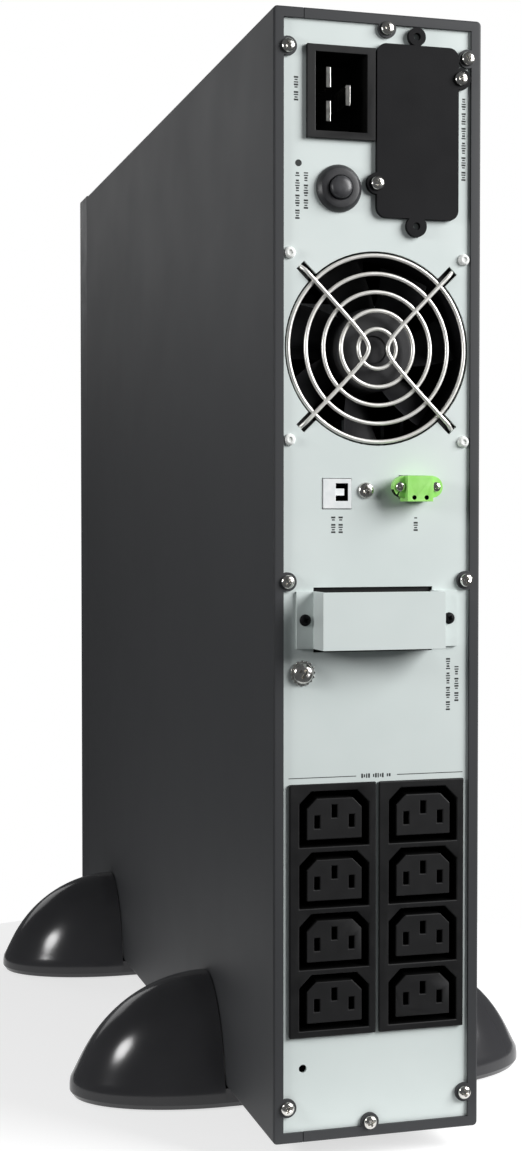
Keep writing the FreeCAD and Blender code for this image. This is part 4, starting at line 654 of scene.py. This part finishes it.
def make_screws(node, body="root"):
    """A domed, cross-recessed head on each screw of the node, each turned a little differently."""
    work = bmesh.new()
    for i, (low, high) in enumerate(islands(node)):
        radius = (high.x - low.x) / 2
        if high.y - low.y < radius:
            continue  # a washer
        centre = Vector(((low.x + high.x) / 2, low.y, (low.z + high.z) / 2))
        depth = DOME * radius
        turn = Vector((0, 0, 1)).rotation_difference(OUT).to_matrix().to_4x4()
        spin = Matrix.Rotation(math.radians(23 + 37 * i), 4, "Z")
        spot = Matrix.Translation(centre + Vector((0, depth, 0)))
        part = HEAD.copy()
        part.transform(spot @ turn @ spin @ Matrix.Scale(radius, 4))
        work.from_mesh(part)
        bpy.data.meshes.remove(part)
    mesh = finish_mesh(work, node + "_heads", 30)
    return show(node + "_domed", mesh, FINISH[SLOT_OF[node]], body, (node,))


def make_washer():
    """The toothed washer under the earth screw."""
    low, high = islands("ground_screw")[0]
    spot = middle("ground_screw")
    outer = (high.x - low.x) / 2
    work = bmesh.new()
    steps = 16 * 4  # sixteen teeth, each with two corners and two corners of the gap beside it
    thick, bore, root = 0.8 * MM, 0.52, 0.9
    rings = []
    for y in (PANEL - thick, PANEL):
        for share in (bore, 1.0):
            ring = []
            for i in range(steps):
                angle = 2 * math.pi * i / steps
                reach = outer * share * (root if share == 1.0 and i % 4 >= 2 else 1.0)
                across, up = reach * math.cos(angle), reach * math.sin(angle)
                ring.append(work.verts.new((spot.x + across, y, spot.z + up)))
            rings.append(ring)
    for first, second in ((0, 1), (1, 3), (3, 2), (2, 0)):
        for i in range(steps):
            k = (i + 1) % steps
            work.faces.new([rings[first][i], rings[first][k], rings[second][k], rings[second][i]])
    item = show("earth_washer", finish_mesh(work, "earth_washer"), FINISH["screw_steel"], "root")
    return break_edges(item, 0.1)


LETTER = 1.7 * MM
FILM = 0.03 * MM


def print_bars(work, x, z, length, upright):
    """A row of thin printed strokes that stands where a caption is."""
    pitch = 0.56 * LETTER
    for i in range(int(length / pitch)):
        if i % 6 == 4:
            continue
        shift = (i + 0.5) * pitch - length / 2
        wide = pitch * (0.5 if i % 3 else 0.72)
        tall = LETTER * (1.0 if (i * 5) % 7 < 4 else 0.7)
        half = (tall / 2, wide / 2) if upright else (wide / 2, tall / 2)
        centre = (x, z + shift) if upright else (x + shift, z)
        brick(work, Vector((centre[0] - half[0], PANEL - FILM, centre[1] - half[1])),
              Vector((centre[0] + half[0], PANEL, centre[1] + half[1])))


def make_printing():
    """Plain strokes, a dot and a ruled line in place of the captions on the panel."""
    work = bmesh.new()
    inlet, breaker, usb = middle("inlet_body"), middle("breaker_nut"), middle("usb_port")
    slot_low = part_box("slot_cover")[0].z
    port_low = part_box("battery_port_cover")[0].z
    captions = [(-33.2 * MM, inlet.z + 1.5 * MM, 11 * MM), (35.6 * MM, slot_low + 40 * MM, 34 * MM),
                (16 * MM, usb.z - 11.3 * MM, 6.6 * MM)]
    captions += [((3.4 * step - 32.6) * MM, breaker.z + (6.5 - length / 2) * MM, length * MM)
                 for step, length in ((0, 19), (1, 15))]
    captions += [(usb.x + side * 1.5 * MM, usb.z - 11.6 * MM, 7.6 * MM) for side in (-1, 1)]
    captions += [((33.4 - 3.6 * step) * MM, port_low - 14.6 * MM, length * MM)
                 for step, length in ((0, 15), (1, 22))]
    for x, z, length in captions:
        print_bars(work, x, z, length, True)
    left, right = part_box("outlet_block_left"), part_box("outlet_block_right")
    rule_z, rule_half, gap = left[1].z + 2.3 * MM, 0.15 * MM, 8.5 * MM
    print_bars(work, 0, rule_z, 13 * MM, False)
    for low, high in ((left[0].x, -gap), (gap, right[1].x)):
        brick(work, Vector((low, PANEL - FILM, rule_z - rule_half)),
              Vector((high, PANEL, rule_z + rule_half)))
    spot, dot_film = 1.3 * MM, 0.05 * MM
    dot = turned([(0.0, dot_film), (spot, dot_film), (spot, 0.0)], 24,
                 Vector((-32.2 * MM, PANEL, breaker.z + 9 * MM)))
    mark = bpy.data.meshes.new("dot")
    dot.to_mesh(mark)
    work.from_mesh(mark)
    show("panel_printing", finish_mesh(work, "panel_printing"), INK, "root")


# --- inlet and breaker

def make_inlet():
    """The inlet's moulding with painted shade, near black, down its throat, and its three blades."""
    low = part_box("inlet_body")[0]
    centre = middle("inlet_body")
    half_x, half_z = 10.35 * MM, 14.9 * MM

    def in_throat(spots):
        return within(spots, (centre.x, centre.z), half_x, half_z) and behind(spots, low.y + 1 * MM)

    dress("inlet_body", 0.3, 3, [(PAINTED_THROAT_SHADE, in_throat)])
    dress("inlet_pins", 0.25, 2)


def make_breaker():
    """The coned ring nut and the domed reset button in the middle."""
    low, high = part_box("breaker_nut")
    centre = Vector(((low.x + high.x) / 2, PANEL, (low.z + high.z) / 2))
    radius = (high.x - low.x) / 2
    bore = 4.5 * MM
    rise = PANEL - low.y
    profile = [(bore, 0.0), (radius, 0.0), (radius, rise * 0.2), (radius - 0.5 * MM, rise * 0.55),
               (radius - 1.6 * MM, rise * 0.93), (radius - 2.6 * MM, rise), (bore + 0.4 * MM, rise),
               (bore, rise - 0.4 * MM), (bore, 0.0)]
    work = turned(profile, 72, centre)
    bmesh.ops.remove_doubles(work, verts=work.verts, dist=0.001 * MM)
    item = show("breaker_nut_turned", finish_mesh(work, "breaker_nut_turned", 30), FINISH["breaker_plastic"],
                "root", ("breaker_nut",))
    break_edges(item, 0.15)
    low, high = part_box("breaker_button")
    reach = (high.x - low.x) / 2
    depth = high.y - low.y
    centre = Vector((centre.x, high.y, centre.z))
    crown = 1.6 * MM
    profile = [(0.0, 0.0), (reach, 0.0), (reach, depth - crown)]
    steps = 8
    for i in range(1, steps + 1):
        angle = math.pi / 2 * i / steps
        profile.append((reach * math.cos(angle) ** 0.7 if i < steps else 0.0,
                        depth - crown + crown * math.sin(angle)))
    show("breaker_button_domed", finish_mesh(turned(profile, 48, centre), "breaker_button_domed", 50), BUTTON,
         "breaker_button", ("breaker_button",))
    dress("breaker_body", 0.3)


# --- fan

def make_guard():
    """Five welded rings on two wires, each bowed away from the other, that dive behind the panel."""
    low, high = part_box("finger_guard")
    wire = 0.8 * MM
    arm_y = low.y + wire + 0.02 * MM
    ring_y = arm_y + 1.7 * wire
    back_y = high.y - wire
    eye = 3.3 * MM  # the loop that a rivet holds at each end of a wire
    corner = (high.x - low.x) / 2 - 4.2 * MM
    first, last = 7.7 * MM, 36.2 * MM
    work = bmesh.new()
    steps = 96
    for i in range(5):
        radius = first + i * (last - first) / 4
        ring = [Vector((FAN.x + radius * math.cos(a), ring_y, FAN.z + radius * math.sin(a)))
                for a in (2 * math.pi * k / steps for k in range(steps))]
        tube(work, ring, wire, True, 14)
    waist = 3.9 * MM
    dive = corner - 5.2 * MM
    for side in (-1, 1):
        points = []
        count = 40
        end = corner - 2.4 * MM
        for k in range(-count, count + 1):
            along = end * k / count
            across = math.hypot(waist, along)
            share = min(1.0, max(0.0, (abs(along) - dive + 2 * MM) / (4 * MM)))
            smooth = share * share * (3 - 2 * share)
            depth = arm_y + (back_y - arm_y) * smooth
            points.append(Vector((FAN.x + side * across, depth, FAN.z + along)))
        tube(work, points, wire, False, 14)
        for k in (-1, 1):
            loop = [Vector((FAN.x + side * corner + eye * math.cos(a), back_y,
                            FAN.z + k * corner + eye * math.sin(a)))
                    for a in (2 * math.pi * n / 32 for n in range(32))]
            tube(work, loop, wire, True, 10)
    show("finger_guard_wire", finish_mesh(work, "finger_guard_wire", 60), FINISH["guard_wire"], "root",
         ("finger_guard",))


def make_rivets():
    """White nylon rivets: a low dome with a dimple where the pin was driven in."""
    work = bmesh.new()
    reach, stem, stem_deep = 2.3 * MM, 1.9 * MM, 20 * MM
    dome = ((1, 0), (1, 0.3), (0.9, 0.62), (0.68, 0.9), (0.5, 0.98), (0.42, 0.94), (0.38, 0.7), (0, 0.7))
    for low, high in islands("fan_rivets"):
        centre = Vector(((low.x + high.x) / 2, PANEL, (low.z + high.z) / 2))
        rise = PANEL - low.y
        profile = [(0.0, -stem_deep), (stem, -stem_deep), (stem, 0.0)]
        profile += [(reach * across, rise * along) for across, along in dome]
        part = finish_mesh(turned(profile, 32, centre), "rivet")
        work.from_mesh(part)
        bpy.data.meshes.remove(part)
    show("fan_rivets_domed", finish_mesh(work, "fan_rivets_domed", 40), FINISH["rivet_white"], "root",
         ("fan_rivets",))


def make_rotor():
    """The fan's hub with its curved and twisted blades."""
    low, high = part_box("fan_rotor")
    hub = 16.5 * MM
    wall = 1.5 * MM
    hub_deep = 18 * MM
    boss, boss_deep = 1.5 * MM, 21 * MM
    dish, dish_deep = 5 * MM, 0.6 * MM
    face = low.y if low.y < FAN.y else high.y
    centre = Vector((FAN.x, face, FAN.z))
    round_off = 1.6 * MM
    profile = [(0.0, -dish_deep), (dish, -dish_deep), (dish + dish_deep, 0.0)]
    for i in range(7):
        angle = math.pi / 2 * i / 6
        profile.append((hub - round_off + round_off * math.sin(angle),
                        -round_off + round_off * math.cos(angle)))
    profile += [(hub, -hub_deep), (hub - wall, -hub_deep), (hub - wall, -wall), (boss, -wall),
                (boss, -boss_deep), (0.0, -boss_deep)]
    work = turned(profile, 64, centre)
    tip = (high.x - low.x) / 2
    blades, rows, columns = 7, 10, 12
    thick = 1.3 * MM
    middle_y = face + hub_deep / 2 + 1 * MM
    for blade in range(blades):
        base = 2 * math.pi * blade / blades
        faces = []
        for side in (-1, 1):
            grid = []
            for i in range(rows + 1):
                radius = hub - 0.7 * MM + (tip - hub + 0.5 * MM) * i / rows
                share = i / rows
                lean = math.radians(44 - 12 * share)
                chord = (16 + 5 * share) * MM
                line = []
                for k in range(columns + 1):
                    s = k / columns - 0.5
                    camber = 2.2 * MM * (1 - 4 * s * s)
                    along = chord * s
                    taper = side * thick / 2 * (1 - (2 * s) ** 4) ** 0.5 if abs(s) < 0.5 else 0.0
                    y = middle_y + along * math.sin(lean) + (camber + taper) * math.cos(lean)
                    sweep = along * math.cos(lean) - (camber + taper) * math.sin(lean)
                    angle = base + sweep / radius + 0.18 * share
                    line.append(work.verts.new((centre.x + radius * math.cos(angle), y,
                                                centre.z + radius * math.sin(angle))))
                grid.append(line)
            faces.append(grid)
            for i in range(rows):
                for k in range(columns):
                    work.faces.new([grid[i][k], grid[i + 1][k], grid[i + 1][k + 1], grid[i][k + 1]])
        for k in range(columns):
            for i in (0, rows):
                work.faces.new([faces[0][i][k], faces[0][i][k + 1], faces[1][i][k + 1], faces[1][i][k]])
    bmesh.ops.remove_doubles(work, verts=work.verts, dist=0.002 * MM)
    show("fan_rotor_moulded", finish_mesh(work, "fan_rotor_moulded", 40), FAN_PLASTIC, "fan_rotor",
         ("fan_rotor",))


def make_fan():
    """The guard, its rivets, the rotor and the frame around it."""
    make_guard()
    make_rivets()
    make_rotor()
    item = dress("fan_frame", 0.4, 2)
    item.data.materials[0] = FAN_PLASTIC


# --- outlets and small sockets

def make_outlets():
    """Two four-gang blocks, their socket middles a shade greyer than their frames and painted shade, near
    black, in their moats.
    """
    pitch = 23.9 * MM
    for side in ("left", "right"):
        node = f"outlet_block_{side}"
        low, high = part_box(node)
        x = (low.x + high.x) / 2 + 0.5 * MM
        rows = [(low.z + high.z) / 2 + (row - 1.5) * pitch for row in range(4)]

        face = low.y + 0.3 * MM

        def on_insert(spots):
            return any(within(spots, (x, z), 11.3 * MM, 8.15 * MM) for z in rows) and not behind(spots, face)

        def in_moat(spots):
            return any(within(spots, (x, z), 14.2 * MM, 10.85 * MM) for z in rows) and behind(spots, face)

        dress(node, 0.5, 3, [(SOCKET_INSERT, on_insert), (PAINTED_THROAT_SHADE, in_moat)])


def make_small_sockets():
    """The white square socket with painted shade in its opening, the green plug in its header with painted
    shade in its holes, and the battery connector behind its cover.
    """
    low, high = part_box("usb_port")
    open_x = (low.x + high.x) / 2 + 1.9 * MM
    open_z = (low.z + high.z) / 2 + 0.6 * MM

    # Painted shade: the faces inside the socket's opening are painted near black.
    def in_opening(spots):
        inside = within(spots, (open_x, open_z), 2.45 * MM, 3.4 * MM) and behind(spots, low.y + 0.1 * MM)
        return inside and not within(spots, (open_x, open_z), 2.45 * MM, 1.4 * MM)

    dress("usb_port", 0.2, 2, [(PAINTED_THROAT_SHADE, in_opening)])
    dress("epo_header", 0.2, 2)
    low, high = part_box("epo_plug")
    mouth_z = (low.z + high.z) / 2

    # Painted shade: the faces inside the plug's holes are painted near black.
    def in_mouth(spots):
        hole = max(spot.x for spot in spots) - min(spot.x for spot in spots) < 2 * MM
        return hole and behind(spots, low.y + 0.3 * MM) and max(spot.z for spot in spots) < mouth_z

    dress("epo_plug", 0.3, 3, [(PAINTED_THROAT_SHADE, in_mouth)])
    dress("external_battery_connector", 0.3, 2)


# --- feet

FOOT_FULL = 0.9868  # the skirt's share of the ellipse's full reach
CHAMFER, CHAMFER_IN = 2.2 * MM, 1.6 * MM  # up and inwards


def foot_share(z):
    """How wide the foot is at a height, as a share of its full reach: an upright skirt under an ellipse."""
    sink, rise, skirt = 9 * MM, 60.7 * MM, 7.5 * MM

    def ellipse(at):
        return math.sqrt(max(0.0, 1 - ((at + sink) / rise) ** 2))

    if z < skirt:
        return FOOT_FULL
    return ellipse(z) + (FOOT_FULL - ellipse(skirt)) * math.exp((skirt - z) / (5 * MM)) * ellipse(z)


def make_feet():
    """Glossy half domes with an upright skirt and a chamfer at the floor, on the tongues under the case."""
    for node in [name for name in NODES if name.startswith("foot_") and name != "foot_pads"]:
        low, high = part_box(node)
        side = -1 if "left" in node else 1
        y_middle = (low.y + high.y) / 2
        reach = (max(abs(low.x), abs(high.x)) - HALF_CASE) / FOOT_FULL
        wide = (high.y - low.y) / 2 / FOOT_FULL
        bottom, top = low.z, high.z
        gap, thick = 0.6 * MM, 2.5 * MM
        work = bmesh.new()
        rows, columns = 30, 48

        def point(z, angle, shrink):
            nip = shrink + max(0.0, 1 - (z - bottom) / CHAMFER) * CHAMFER_IN
            x = (reach - nip) * foot_share(z) * math.cos(angle)
            y = (wide - nip) * foot_share(z) * math.sin(angle)
            drop = shrink if z > bottom + CHAMFER else 0
            return Vector((side * (HALF_CASE + max(x, gap)), y_middle + y, z - drop))

        heights = [bottom, bottom + CHAMFER]
        heights += [bottom + CHAMFER + (top - bottom - CHAMFER) * math.sin(math.pi / 2 * i / rows)
                    for i in range(1, rows + 1)]
        shells = []
        for shrink in (0.0, thick):
            grid = [[work.verts.new(point(z, math.pi * (k / columns - 0.5), shrink))
                     for k in range(columns + 1)] for z in heights]
            shells.append(grid)
            for first, second in zip(grid, grid[1:]):
                for k in range(columns):
                    work.faces.new([first[k], first[k + 1], second[k + 1], second[k]])
        outer, inner = shells
        for k in range(columns):
            work.faces.new([outer[0][k], outer[0][k + 1], inner[0][k + 1], inner[0][k]])
        for i in range(len(heights) - 1):
            for k in (0, columns):
                work.faces.new([outer[i][k], outer[i + 1][k], inner[i + 1][k], inner[i][k]])
        bmesh.ops.remove_doubles(work, verts=work.verts, dist=0.002 * MM)
        ends = (side * 0.2 * MM, side * (HALF_CASE + gap + thick))
        rings = []
        for z in (bottom, bottom + CHAMFER, CASE_LOW - 0.05 * MM):
            half = (wide - max(0.0, 1 - (z - bottom) / CHAMFER) * CHAMFER_IN) * foot_share(z) - 0.05 * MM
            rings.append([work.verts.new((x, y_middle + way * half, z))
                          for x, way in ((ends[0], -1), (ends[1], -1), (ends[1], 1), (ends[0], 1))])
        for first, second in zip(rings, rings[1:]):
            for k in range(4):
                n = (k + 1) % 4
                work.faces.new([first[k], first[n], second[n], second[k]])
        work.faces.new(list(reversed(rings[0])))
        work.faces.new(rings[-1])
        show(node + "_polished", finish_mesh(work, node + "_polished", 28), FINISH["black_gloss"], "root",
             (node,))


# --- front

def make_front():
    """The moulded front, and the round display with its pane behind a smoked window."""
    dress("front_bezel", 0.5, 3)
    dress("battery_door", 0.35, 2)
    dress("display_frame", 0.5, 3)
    dress("display_lens", 0.2, 2)
    for name in ("power_button", "select_button", "enter_button"):
        dress(name, 0.4, 3)
    low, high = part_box("display_lens")
    centre = (low + high) / 2
    work = bmesh.new()
    pane_y = high.y - 0.5 * MM
    wide, tall, rise = 30 * MM, 13 * MM, 4 * MM
    brick(work, Vector((centre.x - wide / 2, pane_y, centre.z + rise - tall / 2)),
          Vector((centre.x + wide / 2, pane_y + 0.12 * MM, centre.z + rise + tall / 2)))
    show("display_pane", finish_mesh(work, "display_pane"), PANE, "display")


# --- inside

INSIDE = ("card_guides", "fan_bearing", "fan_stator", "outlet_contacts", "main_board", "board_standoffs",
          "heat_sink_lower", "heat_sink_upper", "power_transistors", "bus_capacitors", "filter_choke",
          "transformer", "relays", "battery_terminals", "battery_leads", "internal_leads", "display_board",
          "rack_ear_nuts", "foot_pads")
PACK = ("battery_1", "battery_2", "battery_3", "battery_4", "battery_tray")


def make_inside():
    """Inner nodes keep their CAD shape and take their finish. The pack slides out, so its edges are broken."""
    for node in INSIDE:
        data = NODES[node].data
        data.materials.clear()
        data.materials.append(FINISH[SLOT_OF[node]])
    for node in PACK:
        dress(node, 0.6 if node != "battery_tray" else 0.15, 2)


# --- stage

def make_stage():
    """A round sheet of white paper, a little wider than the feet and lit from below."""
    reach, thick = 0.25, 2 * MM
    work = turned([(0.0, 0.0), (reach, 0.0), (reach, -thick), (0.0, -thick)], 96, Vector(), Vector((0, 0, 1)))
    mesh = finish_mesh(work, "studio_floor")
    material, tree, shader, place = start("matt_white_studio_paper", 0.9, specular_ior_level=0.2,
                                          emission_color=(1, 1, 1, 1), emission_strength=0.66)
    drift(tree, shader, place, "#b4b4b4", "#b8b8b8", 400)
    mesh.materials.append(material)
    item = bpy.data.objects.new("studio_floor", mesh)
    bpy.context.scene.collection.objects.link(item)


def make_light(name, place, target, wide, tall, power):
    """A flat lamp that faces its target, with its power in watts."""
    lamp = bpy.data.lights.new(name, "AREA")
    lamp.shape = "RECTANGLE"
    lamp.size = wide
    lamp.size_y = tall
    lamp.energy = power
    item = bpy.data.objects.new(name, lamp)
    item.location = place
    item.rotation_mode = "QUATERNION"
    item.rotation_quaternion = (Vector(target) - Vector(place)).to_track_quat("-Z", "Y")
    bpy.context.scene.collection.objects.link(item)
    return lamp


def make_lighting():
    """A dim studio with a white backdrop. The key light comes from the right of the panel. One light
    glances along the left side, one is for the front, and a round lamp gives the feet their highlight."""
    world = bpy.data.worlds.new("studio")
    bpy.context.scene.world = world
    world.use_nodes = True
    tree = world.node_tree
    tree.nodes.clear()
    seen = add(tree, "Background", {"Color": (1, 1, 1, 1), "Strength": 1.0})
    fill = add(tree, "Background", {"Color": linear("#f0f3f6"), "Strength": 0.11})
    mix = add(tree, "MixShader", links={"Fac": add(tree, "LightPath").outputs["Is Camera Ray"]})
    tree.links.new(fill.outputs["Background"], mix.inputs[1])
    tree.links.new(seen.outputs["Background"], mix.inputs[2])
    add(tree, "OutputWorld", links={"Surface": mix.outputs["Shader"]})
    centre = (0, -0.1, 0.24)
    make_light("key_soft_box", (1.15, -1.0, 0.85), centre, 0.9, 0.9, 39)
    make_light("sheen_soft_box", (-0.85, 1.7, 1.0), (0, 0, 0.5), 1.0, 0.8, 3.4)
    make_light("front_soft_box", (0.9, 1.6, 0.7), (0, 0.2, 0.2), 0.8, 0.8, 14)
    make_light("round_lamp", (-0.625, -0.364, 0.405), (-0.08, 0, 0.02), 0.18, 0.18, 2.0).shape = "DISK"


def make_camera():
    """Stands to the left of the rear panel at half its height, and looks in past the left side."""
    place = Vector((-228.4, -856.5, 250.8)) * MM
    yaw, pitch = math.radians(15.667), math.radians(1.772)
    lens = bpy.data.cameras.new("camera")
    lens.lens = 54.8
    lens.sensor_width = 36
    lens.clip_end = 50
    item = bpy.data.objects.new("camera", lens)
    item.location = place
    item.rotation_euler = (math.pi / 2 - pitch, 0, -yaw)
    bpy.context.scene.collection.objects.link(item)
    bpy.context.scene.camera = item


HEAD = screw_head()
make_case()
make_screws("rim_screws")
make_screws("panel_screws")
make_screws("port_cover_screws")
make_screws("epo_plug_screws", "epo_plug")
make_screws("ground_screw")
make_washer()
make_printing()
make_inlet()
make_breaker()
make_fan()
make_outlets()
make_small_sockets()
make_feet()
make_front()
make_inside()
make_stage()
make_lighting()
make_camera()
bpy.context.scene.view_settings.view_transform = "Standard"

bpy.context.view_layer.update()
